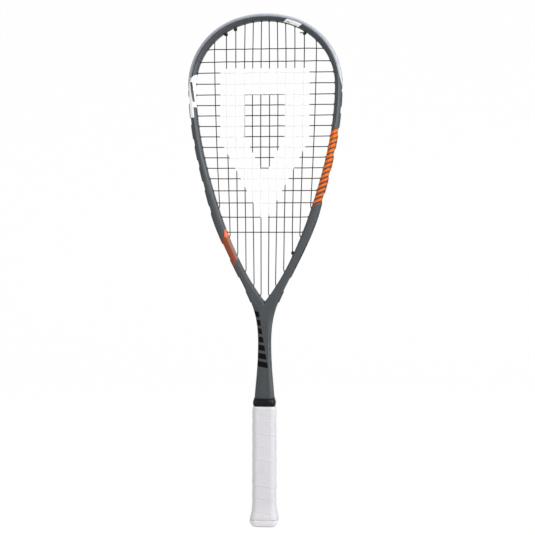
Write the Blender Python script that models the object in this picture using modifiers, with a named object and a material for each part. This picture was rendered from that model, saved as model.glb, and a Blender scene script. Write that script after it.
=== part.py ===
"""Squash racket: hairpin composite frame, strings, grommet strips and handle.

The racket stands on its butt: +Z runs from the butt to the crown of the head,
X is across the string plane (left is -X) and Y is across the beam.  Dimensions
are in millimetres and are scaled to metres when the meshes are made.
"""
import bpy
import bmesh
import math
from collections import namedtuple
from mathutils import Matrix, Vector

MM = 0.001
SIDES = ((-1, "left"), (1, "right"))

# ---------------------------------------------------------- beam outline
# heading in degrees; the handles are the lengths of the curve's tangents
Knot = namedtuple("Knot", "x z heading handle_in handle_out")

CROWN_OUTER = Knot(0.0, 684.4, 0.0, 0.0, 62.9)
WIDEST_OUTER = Knot(102.35, 589.6, -90.0, 51.8, 60.1)
ARM_OUTER = Knot(72.0, 419.3, -105.3, 58.6, 39.5)
THROAT_OUTER = Knot(17.7, 299.0, -111.6, 26.0, 11.3)
WAIST_OUTER = Knot(8.35, 245.6, -90.0, 27.5, 30.9)
ENTRY_OUTER = Knot(12.9, 171.2, -85.7, 25.9, 0.0)

CROWN_INNER = Knot(0.0, 676.5, 0.0, 0.0, 53.2)
WIDEST_INNER = Knot(93.4, 589.9, -90.0, 47.8, 57.1)
ARM_INNER = Knot(61.65, 423.3, -108.2, 56.9, 33.6)
LOWER_INNER = Knot(20.4, 329.3, -121.0, 30.6, 13.0)
TIP_INNER = Knot(0.0, 300.8, -180.0, 2.0, 0.0)

HEAD_STEPS = 15                  # crown to widest
SIDE_STEPS = 13                  # widest to arm
ARM_STEPS = 15                   # arm to throat
THROAT_STEPS = 7                 # throat to waist
SHAFT_STEPS = 4                  # waist to handle entry
CURVE_STEPS = 80                 # samples of each cubic before spacing by arc

# ---------------------------------------------------------- beam section
NECK_X, NECK_Z = 12.1, 160.0     # half width of the shaft inside the handle
SHAFT_END_Z = 14.0
HOOP_DEPTH = 9.0                 # half depths of the beam
THROAT_DEPTH = 10.0
WAIST_DEPTH = 9.7
ENTRY_DEPTH = 10.6
NECK_DEPTH = 10.3
ARM_BOX = 0.6                    # how boxy the section is at the arm
SHAFT_FLAT = 5.0                 # half width of the flat on the shaft faces
CREST_EDGE = 0.56                # outer edge of the hoop's crest, over width
SHOULDER_IN = 0.7                # hoop's outer shoulder, in from the edge
SHOULDER_DEPTH = 0.68            # depth there over the half depth

GROOVE_HALF = 4.2                # channel round the outside of the head
GROOVE_DEPTH = 1.4
WALL = 1.25                      # laminate thickness
WEB = 0.6                        # half of the wall between the two bores
CROTCH_THICKENING = 0.3          # extra outer wall, in groove depths
CAVITY_OVERRUN = 2.0             # cavity cutter past the shaft end

# ---------------------------------------------------------- string holes
# radii as (plain hole, hole that carries a tie-off as well)
HOLE_RADII = (2.1, 2.9)
BARREL_RADII = (1.6, 2.4)
BORE_RADII = (1.1, 1.75)
ROD_SIDES = 6
DRILL_OVERRUN = 3.0              # cutters past both ends of a hole
BARREL_START = -0.5              # barrels begin inside the inner edge
BARREL_SINK = 0.75               # and end this far under the outer edge
HOLE_PROBE = 1.0                 # step off the inner edge before finding the outer

# fall of the throat holes in degrees, from the middle pair outward; the two
# holes of each loop are drilled toward each other
THROAT_FALL = (34.0, 50.0, 36.0, 50.0, 38.0, 46.0)
LEAD = 1.4                       # strands bend this far inside the beam
THROAT_LEAD = 2.2

# ---------------------------------------------------------- string pattern
STRING_RADIUS = 0.6
WEAVE = 1.36                     # crosses pass this far over and under
LANE = 1.5                       # loops lie this far off the centre line
FIRST_LANE = 2.2                 # the same for the first loop of the crosses
LOOP_UP = 0.65                   # loop centre above the outer edge
LOOP_CORNER = 1.5                # loops start this far from the hole axis
LOOP_MARGIN = 0.12               # least gap between loop points, in stations
EXIT_UP = 0.15                   # strands leave a hole this far above the edge
TIE_STEP = 0.72                  # two strands side by side in a tie hole
SETTLE_RUN = 9.0                 # a tied strand returns to centre over this
CROSS_END_CLEAR = 4.0            # crosses skip mains that end nearer than this
CROSS_WALL_CLEAR = 1.6           # and mains this near the beam
CLOSE_WALL = 3.6                 # mains nearer than this count as close
CLOSE_LEAD = -0.5                # lead and bend of a cross beside such a main
CLOSE_BEND = 0.5

# half of the mains, from the middle outward
MAIN_TOP_X = (5.4, 16.6, 27.7, 39.9, 52.6, 68.9)
MAIN_LOW_X = (4.95, 14.4, 25.3, 36.6, 47.2, 61.5)
MAIN_TOP_Z, MAIN_LOW_Z = 650.0, 400.0    # heights at which the X are taken
THROAT_PROBE_Z = 450.0                   # throat holes are found from here
CROSS_TOP_Z = 639.1
CROSS_PITCHES = ((16.9, 14.75, 14.75, 14.75) + (14.1,) * 8
                 + (16.2, 16.3, 19.2, 20.2))

KNOT_STEPS = 8
KNOT_PROFILE = (                 # radius, distance along the strand
    (0.85, 2.2), (1.5, 1.9), (2.0, 2.7), (2.0, 3.9), (1.5, 4.7), (0.85, 4.4))

# ---------------------------------------------------------- grommet strips
GUARD_END_Z = 584.0              # head guard stops, side strip starts
SIDE_END_Z = 346.0               # side strip stops, throat strip starts
THROAT_END_Z = 299.6
STRIP_GAP = 0.3
HOLE_MARGIN = 0.02               # holes this near a strip's end, in stations
BASE_LOW, BASE_TOP = 0.25 - GROOVE_DEPTH, -0.35
BASE_Y = GROOVE_HALF - 0.55
GUARD_WRAP = 3.4                 # how far in the guard reaches over the beam
GUARD_THICKNESS = 0.55
GUARD_CLEAR = 0.35               # wing tip above the slope of the beam

# ---------------------------------------------------------- handle
GRIP_HALF_X, GRIP_HALF_Y = 15.8, 14.0
GRIP_LOW_Z, GRIP_TOP_Z = 9.3, 160.6
GRIP_LEVELS = (GRIP_LOW_Z, 13.0, 17.0, 21.0, 25.5, 31.0, 40.0, GRIP_TOP_Z)
GRIP_BEVEL = 0.5                 # corner radius over the smaller half size
SLEEVE_BEVEL = 0.36              # the same for the other sleeves
CORNER_STEPS = 2
FLARE = 3.15                     # swell at the butt
FLARE_LOW_Z, FLARE_TOP_Z = 8.0, 40.0
FLARE_POWER = 2.2

TAPE_THICKNESS = 1.8
FIT = 0.3                        # clearance between fitted parts
CAP_WALL = 1.1
SKIRT_INSET = TAPE_THICKNESS + FIT           # core and cap skirt, in from grip
CAP_INSIDE_INSET = SKIRT_INSET + CAP_WALL
CORE_STEP_INSET = CAP_INSIDE_INSET + FIT
CORE_STEP_LEVELS = (3.2, 9.3, 13.0, 17.0, 21.0, 24.3)
CORE_TOP_Z = 160.0
CORE_LEVELS = (24.5, 31.0, 40.0, CORE_TOP_Z)

CAP_FLOOR_Z = 2.9
SKIRT_LEVELS = (9.0, 13.0, 17.0, 21.0, 24.0)
CAP_BASE = (                     # half x, half y, z
    (13.6, 11.5, 0.0), (16.8, 14.7, 2.6), (18.4, 16.3, 5.6))

STAPLE_Z = 18.0
STAPLE_HALF_Y = 4.5
STAPLE_HALF_Z = 0.5
STAPLE_WIRE = 0.6
STAPLE_SINK = 0.5                # outer face under the skirt's surface
STAPLE_LEG_X = NECK_X + 1.0
STAPLE_CLEAR = 0.25              # recess round the wire
LEG_END_CLEAR = 0.3
LEG_CUT_INSET = 1.0              # leg slots start this far in from the grip

TAPE_OUTER = ((13.10, 11.00, 162.0), (13.15, 11.08, 169.6))   # half x, half y, z
TAPE_INNER = ((12.75, 10.74, 162.0), (13.00, 10.88, 169.6))

COLLAR_LOW_Z, COLLAR_MID_Z, COLLAR_TOP_Z = 161.0, 168.9, 171.4
COLLAR_HALF_X, COLLAR_HALF_Y = 15.1, 12.8
COLLAR_BORE = (13.45, 11.16)
# fraction of the tier's height, drop in from the collar's half sizes
COLLAR_TIER = ((0.0, 0.7), (0.12, 0.15), (0.4, 0.0), (0.75, 0.05), (0.93, 0.35), (1.0, 0.9))
COLLAR_RING = ((0.25, 1.15), (0.7, 1.15), (1.0, 1.35))

PLUG_LOW_Z, PLUG_TOP_Z = 15.0, 40.0
PLUG_INSET = ((0.3, -0.35), (0.0, -0.45), (-0.3, -0.35))   # off the bore's points

# ---------------------------------------------------------- scene
for old in list(bpy.data.objects):
    bpy.data.objects.remove(old, do_unlink=True)

PARTS = bpy.data.collections.new("squash_racket")
CUTTERS = bpy.data.collections.new("cutters")
bpy.context.scene.collection.children.link(PARTS)
bpy.context.scene.collection.children.link(CUTTERS)


def material(name, colour, roughness, metallic=0.0):
    mat = bpy.data.materials.new(name)
    mat.use_nodes = True
    shader = mat.node_tree.nodes["Principled BSDF"]
    shader.inputs["Base Color"].default_value = (*colour, 1.0)
    shader.inputs["Roughness"].default_value = roughness
    shader.inputs["Metallic"].default_value = metallic
    mat.diffuse_color = (*colour, 1.0)
    return mat


GRAPHITE = material("painted_graphite", colour=(0.075, 0.088, 0.093),
                    roughness=0.38, metallic=0.15)
GUARD_NYLON = material("silver_nylon", colour=(0.42, 0.42, 0.48), roughness=0.40)
STRIP_NYLON = material("charcoal_nylon", colour=(0.09, 0.10, 0.11), roughness=0.48)
MAIN_GUT = material("black_multifilament", colour=(0.035, 0.035, 0.037), roughness=0.42)
CROSS_GUT = material("black_multifilament_cross", colour=(0.04, 0.04, 0.042),
                     roughness=0.42)
KNOT_BLACK = material("black_knot", colour=(0.02, 0.02, 0.02), roughness=0.5)
CORE_FOAM = material("foamed_polyurethane", colour=(0.55, 0.52, 0.45), roughness=0.8)
CAP_PLASTIC = material("butt_plastic", colour=(0.62, 0.62, 0.64), roughness=0.55)
STEEL = material("staple_steel", colour=(0.55, 0.55, 0.56), roughness=0.35, metallic=1.0)
GRIP_WHITE = material("white_grip_polyurethane", colour=(0.72, 0.71, 0.72),
                      roughness=0.62)
TAPE_VINYL = material("finishing_tape_vinyl", colour=(0.05, 0.05, 0.05), roughness=0.55)
RUBBER = material("black_rubber", colour=(0.015, 0.015, 0.016), roughness=0.30)
PLUG_FOAM = material("grey_foam", colour=(0.30, 0.30, 0.30), roughness=0.9)


# ---------------------------------------------------------- object helpers
def add_part(name, data, mat):
    data.materials.append(mat)
    obj = bpy.data.objects.new(name, data)
    PARTS.objects.link(obj)
    return obj


def add_cutter(name, mesh):
    obj = bpy.data.objects.new(name, mesh)
    CUTTERS.objects.link(obj)
    obj.hide_render = True
    obj.display_type = 'WIRE'
    return obj


def bmesh_cutter(name, bm):
    mesh = bpy.data.meshes.new(name)
    bm.to_mesh(mesh)
    bm.free()
    return add_cutter(name, mesh)


def face_outward(mesh, weld=None):
    """Turn the faces outward and shade them smooth, welding points first if asked."""
    bm = bmesh.new()
    bm.from_mesh(mesh)
    if weld is not None:
        bmesh.ops.remove_doubles(bm, verts=bm.verts, dist=weld)
    bmesh.ops.recalc_face_normals(bm, faces=bm.faces)
    bm.to_mesh(mesh)
    bm.free()
    for poly in mesh.polygons:
        poly.use_smooth = True


def skin(name, rings, closed=False, caps="", open_from=None):
    """Mesh over rings of points.

    closed joins the last ring to the first; caps holds "start" and/or "end";
    from ring open_from on, the quad that closes each ring is left out.
    """
    size = len(rings[0])
    spans = len(rings) if closed else len(rings) - 1
    faces = []
    for r in range(spans):
        here, there = r * size, (r + 1) % len(rings) * size
        for c in range(size):
            if c == size - 1 and open_from is not None and r >= open_from:
                continue
            d = (c + 1) % size
            faces.append((here + c, here + d, there + d, there + c))
    if "start" in caps:
        faces.append(tuple(range(size)))
    if "end" in caps:
        last = (len(rings) - 1) * size
        faces.append(tuple(last + c for c in range(size)))
    mesh = bpy.data.meshes.new(name)
    points = [tuple(c * MM for c in point) for ring in rings for point in ring]
    mesh.from_pydata(points, [], faces)
    face_outward(mesh)
    return mesh


def boolean(obj, tool, operation):
    mod = obj.modifiers.new(tool.name, 'BOOLEAN')
    mod.operation = operation
    mod.solver = 'EXACT'
    mod.object = tool


def mirror_x(obj):
    mod = obj.modifiers.new("mirror", 'MIRROR')
    mod.use_axis = (True, False, False)
    mod.use_clip = True
    mod.use_mirror_merge = True
    mod.merge_threshold = 0.00005


def flat_outline(name, outline, low_z, top_z, mat):
    """Flat (x, y) outline with a thickness, from a filled curve."""
    curve = bpy.data.curves.new(name, 'CURVE')
    curve.dimensions = '2D'
    curve.fill_mode = 'BOTH'
    curve.extrude = 0.5 * (top_z - low_z) * MM
    spline = curve.splines.new('POLY')
    spline.points.add(len(outline) - 1)
    for point, (x, y) in zip(spline.points, outline):
        point.co = (x * MM, y * MM, 0.0, 1.0)
    spline.use_cyclic_u = True
    obj = add_part(name, curve, mat)
    obj.location = (0.0, 0.0, 0.5 * (low_z + top_z) * MM)


# ---------------------------------------------------------- plane geometry
def mix(a, b, t):
    return a * (1 - t) + b * t


def between(a, b, t):
    """Point a fraction t of the way from a to b."""
    return (a[0] + t * (b[0] - a[0]), a[1] + t * (b[1] - a[1]))


def distance(a, b):
    return math.hypot(a[0] - b[0], a[1] - b[1])


def unit(x, z):
    size = math.hypot(x, z)
    return (x / size, z / size)


def direction(a, b):
    return unit(b[0] - a[0], b[1] - a[1])


def smoothstep(a, b, t):
    t = min(1.0, max(0.0, (t - a) / (b - a)))
    return t * t * (3 - 2 * t)


def bezier(start, end, t):
    """Point of the cubic between two knots."""
    angle0, angle1 = math.radians(start.heading), math.radians(end.heading)
    controls = (
        (start.x, start.z),
        (start.x + math.cos(angle0) * start.handle_out,
         start.z + math.sin(angle0) * start.handle_out),
        (end.x - math.cos(angle1) * end.handle_in,
         end.z - math.sin(angle1) * end.handle_in),
        (end.x, end.z))
    weights = ((1 - t) ** 3, 3 * (1 - t) ** 2 * t, 3 * (1 - t) * t * t, t ** 3)
    return tuple(sum(w * p[axis] for w, p in zip(weights, controls)) for axis in (0, 1))


def by_arc(points, fractions):
    """Points of a polyline at fractions of its length."""
    run = [0.0]
    for a, b in zip(points[:-1], points[1:]):
        run.append(run[-1] + distance(a, b))
    out = []
    for fraction in fractions:
        want = fraction * run[-1]
        i = 0
        while i < len(run) - 2 and run[i + 1] < want:
            i += 1
        out.append(between(points[i], points[i + 1],
                           (want - run[i]) / (run[i + 1] - run[i])))
    return out


def edge_points(knots, fractions):
    """Points at fractions of the length of the curve through the knots."""
    points = [bezier(knots[0], knots[1], 0.0)]
    for start, end in zip(knots[:-1], knots[1:]):
        points += [bezier(start, end, i / CURVE_STEPS) for i in range(1, CURVE_STEPS + 1)]
    return by_arc(points, fractions)


# ---------------------------------------------------------- beam stations
class Station(namedtuple("Station", "outer inner depth box shaft groove")):
    """Beam section between an inner and an outer (x, z) point.

    depth is the half depth.  box blends the crested section into a boxy one,
    shaft blends that into the shaft's, and groove scales the channel's depth.
    """

    @property
    def width(self):
        return distance(self.outer, self.inner)

    def place(self, half):
        """Ring of 3D points from half a section of (from inner edge, y) points."""
        ring = []
        for u, y in mirrored_ring(half):
            x, z = between(self.inner, self.outer, u / self.width)
            ring.append((x, y, z))
        return ring


def mirrored_ring(half):
    """Full ring from the +Y half of a section."""
    return [(u, -y) for u, y in half] + [(u, y) for u, y in reversed(half)]


def build_stations():
    """Stations from the crown to the shaft end, and the index of the crotch."""
    stations = []

    def add_pairs(outer_knots, inner_knots, fractions, shapes):
        for outer, inner, shape in zip(edge_points(outer_knots, fractions),
                                       edge_points(inner_knots, fractions), shapes):
            stations.append(Station(outer, inner, *shape, shaft=0.0, groove=1.0))

    steps = [i / HEAD_STEPS for i in range(HEAD_STEPS + 1)]
    add_pairs((CROWN_OUTER, WIDEST_OUTER), (CROWN_INNER, WIDEST_INNER), steps,
              [(HOOP_DEPTH, 0.0)] * len(steps))

    steps = [i / SIDE_STEPS for i in range(1, SIDE_STEPS + 1)]
    add_pairs((WIDEST_OUTER, ARM_OUTER), (WIDEST_INNER, ARM_INNER), steps,
              [(HOOP_DEPTH, ARM_BOX * smoothstep(0.35, 1.0, f)) for f in steps])

    # stations close up toward the crotch
    steps = [i / ARM_STEPS for i in range(1, ARM_STEPS + 1)]
    add_pairs((ARM_OUTER, THROAT_OUTER), (ARM_INNER, LOWER_INNER, TIP_INNER),
              [f * (1.25 - 0.25 * f) for f in steps],
              [(mix(HOOP_DEPTH, THROAT_DEPTH, smoothstep(0, 1, f)),
                ARM_BOX + (1.0 - ARM_BOX) * smoothstep(0.0, 0.5, f)) for f in steps])
    crotch = len(stations) - 1

    # below the crotch the inner edge is the centre line
    tip_rise = TIP_INNER.z - THROAT_OUTER.z
    for i in range(1, THROAT_STEPS + 1):
        f = i / THROAT_STEPS
        outer = bezier(THROAT_OUTER, WAIST_OUTER, f)
        stations.append(Station(outer, (0.0, outer[1] + tip_rise * (1 - f) ** 2),
                                mix(THROAT_DEPTH, WAIST_DEPTH, f), 1.0,
                                smoothstep(0.0, 0.5, f), 0.0))
    for i in range(1, SHAFT_STEPS + 1):
        f = i / SHAFT_STEPS
        outer = bezier(WAIST_OUTER, ENTRY_OUTER, f)
        stations.append(Station(outer, (0.0, outer[1]),
                                mix(WAIST_DEPTH, ENTRY_DEPTH, f), 1.0, 1.0, 0.0))
    for z in (NECK_Z, SHAFT_END_Z):
        stations.append(Station((NECK_X, z), (0.0, z), NECK_DEPTH, 1.0, 1.0, 0.0))
    return stations, crotch


STATIONS, CROTCH = build_stations()


# ---------------------------------------------------------- frame
def beam_half(station):
    """Half of a beam section: distance from the inner edge, y."""
    width, h = station.width, station.depth
    crested = ((0.0, 0.56 * h), (0.7, 0.66 * h), (0.42 * width, h), (CREST_EDGE * width, h),
               (width - SHOULDER_IN, SHOULDER_DEPTH * h), (width, 0.60 * h))
    boxy = ((0.0, 0.72 * h), (0.8, 0.90 * h), (2.6, h),
            (width - 2.6, h), (width - 0.8, 0.90 * h), (width, 0.72 * h))
    shaft = ((0.0, h), (0.33 * SHAFT_FLAT, h), (0.66 * SHAFT_FLAT, h),
             (SHAFT_FLAT, h), (0.5 * (width + SHAFT_FLAT), 0.88 * h),
             (width, 0.68 * h))
    half = [tuple(mix(mix(a, b, station.box), c, station.shaft)
                  for a, b, c in zip(*points))
            for points in zip(crested, boxy, shaft)]
    half.append((width, GROOVE_HALF))
    half.append((width - GROOVE_DEPTH * station.groove, GROOVE_HALF - 0.25))
    return half


def bore_half(station):
    """Half of the bore section: distance from the inner edge, y."""
    low = mix(WALL, WEB, station.shaft)
    high = station.width - WALL - GROOVE_DEPTH * station.groove
    head = 0.50 + 0.12 * station.box
    return ((low, mix(head, 0.80, station.shaft) * station.depth),
            (0.5 * (low + high), station.depth - WALL - 0.1),
            (high, mix(head, 0.58, station.shaft) * station.depth))


def build_cavity():
    """Hollow of the hairpin tube, open at the handle end of the shaft."""
    rows = list(STATIONS)
    for k in (CROTCH + 1, CROTCH + 2):
        rows[k] = rows[k]._replace(groove=CROTCH_THICKENING)
    end = rows[-1]
    rows[-1] = end._replace(outer=(end.outer[0], end.outer[1] - CAVITY_OVERRUN),
                            inner=(end.inner[0], end.inner[1] - CAVITY_OVERRUN))
    name = "cavity_cutter"
    cavity = add_cutter(name, skin(name, [row.place(bore_half(row)) for row in rows],
                                   caps="end"))
    mirror_x(cavity)
    return cavity


def build_frame():
    # one half, with no inner wall below the crotch, mirrored into the whole
    rings = [station.place(beam_half(station)) for station in STATIONS]
    frame = add_part("frame", skin("frame", rings, caps="end", open_from=CROTCH), GRAPHITE)
    mirror_x(frame)
    boolean(frame, build_cavity(), 'DIFFERENCE')
    boolean(frame, hole_rods("string_hole_cutter", ALL_HOLES, HOLE_RADII, drill_run),
            'DIFFERENCE')


# ---------------------------------------------------------- full outlines
# Both run from the left throat over the crown to the right throat.  A place on
# them is a param: the index of a point plus the fraction to the next one.
def full_outline(edge):
    right = [getattr(station, edge) for station in STATIONS[:CROTCH + 2]]
    left = [(-x, z) for x, z in reversed(right[1:])]
    return left + right


OUTER = full_outline("outer")
INNER = full_outline("inner")
MIDDLE = len(OUTER) // 2


def outline_normals(points):
    out = []
    for k in range(len(points)):
        x, z = direction(points[max(0, k - 1)], points[min(len(points) - 1, k + 1)])
        out.append((-z, x))
    return out


OUTER_NORMALS = outline_normals(OUTER)


def locate(param):
    """Segment of the outer outline and the fraction along it."""
    i = min(len(OUTER) - 2, max(0, int(math.floor(param))))
    return i, param - i


def on_outer(param, up=0.0):
    """Point of the outer outline raised along its normal."""
    i, f = locate(param)
    x, z = between(OUTER[i], OUTER[i + 1], f)
    normal_x, normal_z = between(OUTER_NORMALS[i], OUTER_NORMALS[i + 1], f)
    return (x + normal_x * up, z + normal_z * up)


def shift(param, step):
    """Move along the outer outline by a length in millimetres."""
    i, _ = locate(param)
    return param + step / distance(OUTER[i], OUTER[i + 1])


def param_at(z, side):
    """Param of the outer outline at a height, on one side."""
    segments = range(MIDDLE, len(OUTER) - 1) if side > 0 else range(MIDDLE)
    for k in segments:
        a, b = OUTER[k][1], OUTER[k + 1][1]
        if min(a, b) <= z <= max(a, b):
            return k + (z - a) / (b - a)


def first_hit(origin, heading, points):
    """Where a ray first meets a polyline: param, point, distance."""
    best = None
    for k in range(len(points) - 1):
        edge_x = points[k + 1][0] - points[k][0]
        edge_z = points[k + 1][1] - points[k][1]
        cross = heading[0] * edge_z - heading[1] * edge_x
        if abs(cross) < 1e-9:
            continue                          # parallel to the ray
        away_x = points[k][0] - origin[0]
        away_z = points[k][1] - origin[1]
        t = (away_x * edge_z - away_z * edge_x) / cross
        f = (away_x * heading[1] - away_z * heading[0]) / cross
        if t > 1e-6 and -1e-9 <= f <= 1 + 1e-9 and (best is None or t < best[2]):
            point = (origin[0] + t * heading[0], origin[1] + t * heading[1])
            best = (k + f, point, t)
    return best


# ---------------------------------------------------------- string holes
class Hole:
    """A string hole: where a string meets the beam and how the hole runs.

    It runs halfway between the string's heading and the beam's normal, or
    falls by a given angle.
    """

    def __init__(self, start, heading, fall=None):
        k, self.inner, _ = first_hit(start, heading, INNER)
        if fall is None:
            i = int(math.floor(k))
            tangent_x, tangent_z = direction(INNER[i], INNER[i + 1])
            self.axis = unit(heading[0] - tangent_z, heading[1] + tangent_x)
            self.lead = LEAD
        else:
            side = 1.0 if start[0] > 0 else -1.0
            angle = math.radians(fall)
            self.axis = (side * math.cos(angle), -math.sin(angle))
            self.lead = THROAT_LEAD
        self.param, _, beyond = first_hit(self.along(HOLE_PROBE), self.axis, OUTER)
        self.length = beyond + HOLE_PROBE
        self.tie = False

    def along(self, s):
        """Point of the axis, s millimetres out from the inner edge."""
        return (self.inner[0] + self.axis[0] * s, self.inner[1] + self.axis[1] * s)

    def bend(self):
        """Point where the strand bends into the string bed."""
        return self.along(-self.lead)

    def reach(self, up):
        """Length of axis that ends a height above the outer edge."""
        normal = direction(on_outer(self.param), on_outer(self.param, 1.0))
        slope = abs(self.axis[0] * normal[0] + self.axis[1] * normal[1])
        return self.length + up / slope


def main_holes():
    """Head and throat holes of the mains, from left to right."""
    tops, lows = [], []
    count = len(MAIN_TOP_X)
    order = [(-1.0, k) for k in reversed(range(count))] + [(1.0, k) for k in range(count)]
    for side, k in order:
        top_x, low_x, fall = MAIN_TOP_X[k], MAIN_LOW_X[k], THROAT_FALL[k]
        # the mains fan a little, so the start point lies on the string's own line
        lean = unit(side * (top_x - low_x), MAIN_TOP_Z - MAIN_LOW_Z)
        middle = (side * 0.5 * (top_x + low_x), 0.5 * (MAIN_TOP_Z + MAIN_LOW_Z))
        tops.append(Hole(middle, lean))
        reach = THROAT_LEAD * math.cos(math.radians(fall))
        lows.append(Hole((side * (low_x + reach), THROAT_PROBE_Z), (0.0, -1.0), fall))
    return tops, lows


MAIN_TOP, MAIN_LOW = main_holes()
CROSS_Z = [CROSS_TOP_Z]
for pitch in CROSS_PITCHES:
    CROSS_Z.append(CROSS_Z[-1] - pitch)
CROSS_RIGHT = [Hole((0.0, z), (1.0, 0.0)) for z in CROSS_Z]
CROSS_LEFT = [Hole((0.0, z), (-1.0, 0.0)) for z in CROSS_Z]
ALL_HOLES = MAIN_TOP + MAIN_LOW + CROSS_LEFT + CROSS_RIGHT

# tie-off holes, each with the hole at the other end of its main: second and
# third mains from the left and second from the right at the head, third from
# the right at the throat
TIES = {
    "knot_main_left": (MAIN_TOP[1], MAIN_LOW[1]),
    "knot_main_right": (MAIN_TOP[10], MAIN_LOW[10]),
    "knot_cross_start": (MAIN_TOP[2], MAIN_LOW[2]),
    "knot_cross_end": (MAIN_LOW[9], MAIN_TOP[9]),
}
for tie_hole, _ in TIES.values():
    tie_hole.tie = True


def drill_run(hole):
    """Start and stop of a cutter that passes right through."""
    return -DRILL_OVERRUN, hole.length + DRILL_OVERRUN


def barrel_run(hole):
    return BARREL_START, hole.reach(-BARREL_SINK)


def add_rod(bm, a, b, radius):
    """Closed rod between two points of the string plane."""
    axis = Vector((b[0] - a[0], 0.0, b[1] - a[1])).normalized()
    turn = Vector((0.0, 0.0, 1.0)).rotation_difference(axis).to_matrix().to_4x4()
    move = Matrix.Translation((0.5 * (a[0] + b[0]) * MM, 0.0, 0.5 * (a[1] + b[1]) * MM))
    bmesh.ops.create_cone(bm, cap_ends=True, cap_tris=False, segments=ROD_SIDES,
                          radius1=radius * MM, radius2=radius * MM,
                          depth=distance(a, b) * MM, matrix=move @ turn)


def hole_rods(name, holes, radii, run):
    """Cutter with a rod on the axis of every hole."""
    bm = bmesh.new()
    for hole in holes:
        start, stop = run(hole)
        add_rod(bm, hole.along(start), hole.along(stop), radii[hole.tie])
    return bmesh_cutter(name, bm)


# ---------------------------------------------------------- grommet strips
def plate_profile(_param):
    """Flat strip that lies in the channel: height above the outer edge, y."""
    return mirrored_ring(((BASE_LOW, BASE_Y), (BASE_TOP, BASE_Y)))


def guard_profile(param):
    """Guard section: a channel for the string with wings over the slope."""
    i, f = locate(param)
    width = mix(distance(OUTER[i], INNER[i]), distance(OUTER[i + 1], INNER[i + 1]), f)
    slope = ((1 - SHOULDER_DEPTH) * HOOP_DEPTH
             / ((1 - CREST_EDGE) * width - SHOULDER_IN))
    wing_y = (SHOULDER_DEPTH * HOOP_DEPTH + slope * (GUARD_WRAP - SHOULDER_IN)
              + GUARD_CLEAR)
    return mirrored_ring((
        (BASE_LOW, BASE_Y), (0.3, BASE_Y), (0.3, 5.6), (-0.45, 6.6),
        (-GUARD_WRAP, wing_y), (-GUARD_WRAP + 0.2, wing_y + GUARD_THICKNESS),
        (0.1, 7.1), (1.0, 6.2), (1.5, 4.9), (1.5, 3.1), (BASE_TOP, 2.95)))


def build_strip(name, first, last, profile, mat):
    """Profile swept along the outer outline, with a barrel for every hole it covers."""
    inside = range(int(math.floor(first)) + 1, int(math.ceil(last)))
    rings = []
    for param in (first, *inside, last):
        ring = []
        for up, y in profile(param):
            x, z = on_outer(param, up)
            ring.append((x, y, z))
        rings.append(ring)
    strip = add_part(name, skin(name, rings, caps="start end"), mat)
    holes = [hole for hole in ALL_HOLES
             if first + HOLE_MARGIN < hole.param < last - HOLE_MARGIN]
    boolean(strip, hole_rods(name + "_barrels", holes, BARREL_RADII, barrel_run), 'UNION')
    boolean(strip, hole_rods(name + "_bores", holes, BORE_RADII, drill_run), 'DIFFERENCE')


def build_strips():
    for side, tag in SIDES:
        for place, top_z, low_z in (("side", GUARD_END_Z, SIDE_END_Z),
                                    ("throat", SIDE_END_Z, THROAT_END_Z)):
            top = shift(param_at(top_z, side), side * STRIP_GAP)
            first, last = sorted((top, param_at(low_z, side)))
            build_strip(f"{place}_grommet_strip_{tag}", first, last,
                        plate_profile, STRIP_NYLON)
    build_strip("head_bumper_guard", param_at(GUARD_END_Z, -1),
                param_at(GUARD_END_Z, 1), guard_profile, GUARD_NYLON)


# ---------------------------------------------------------- strings
def outward(hole, y):
    """Points of a strand leaving the bed through a hole."""
    return [(x, y, z) for x, z in (hole.bend(), hole.along(hole.reach(EXIT_UP)))]


def inward(hole, y):
    return outward(hole, y)[::-1]


def outside_loop(start_hole, end_hole, lane):
    """Run of string round the outside from one hole to the next."""
    sign = 1 if end_hole.param > start_hole.param else -1
    start = shift(start_hole.param, sign * LOOP_CORNER)
    stop = shift(end_hole.param, -sign * LOOP_CORNER)
    passed = [k for k in range(len(OUTER))[::sign]
              if sign * (k - start) > LOOP_MARGIN and sign * (stop - k) > LOOP_MARGIN]
    path = []
    for param in (start, *passed, stop):
        x, z = on_outer(param, LOOP_UP)
        path.append((x, lane, z))
    return path


def strand_y(hole):
    return -TIE_STEP if hole.tie else 0.0


def settle(hole, other):
    """Bring a strand that runs off centre in a tie hole back into the bed."""
    if not hole.tie:
        return []
    x, z = hole.bend()
    axis = direction(hole.bend(), other.bend())
    return [(x + axis[0] * SETTLE_RUN, 0.0, z + axis[1] * SETTLE_RUN)]


def main_path():
    first_tie, last_tie = TIES["knot_main_left"][0], TIES["knot_main_right"][0]
    path = outward(first_tie, TIE_STEP)
    path += outside_loop(first_tie, MAIN_TOP[0], -LANE)
    # the first strand runs down from the head, the next one up, and so on
    starts, ends = MAIN_TOP, MAIN_LOW
    for k in range(len(MAIN_TOP)):
        start, end = starts[k], ends[k]
        path += inward(start, strand_y(start))
        path += settle(start, end)
        path += settle(end, start)
        path += outward(end, strand_y(end))
        if k < len(MAIN_TOP) - 1:
            path += outside_loop(end, ends[k + 1], -LANE)
        starts, ends = ends, starts
    path += outside_loop(MAIN_TOP[-1], last_tie, -LANE)
    path += inward(last_tie, TIE_STEP)
    return path


def main_x(k, z):
    """Where main k crosses a height."""
    top, low = MAIN_TOP[k].bend(), MAIN_LOW[k].bend()
    return low[0] + (z - low[1]) / (top[1] - low[1]) * (top[0] - low[0])


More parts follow.
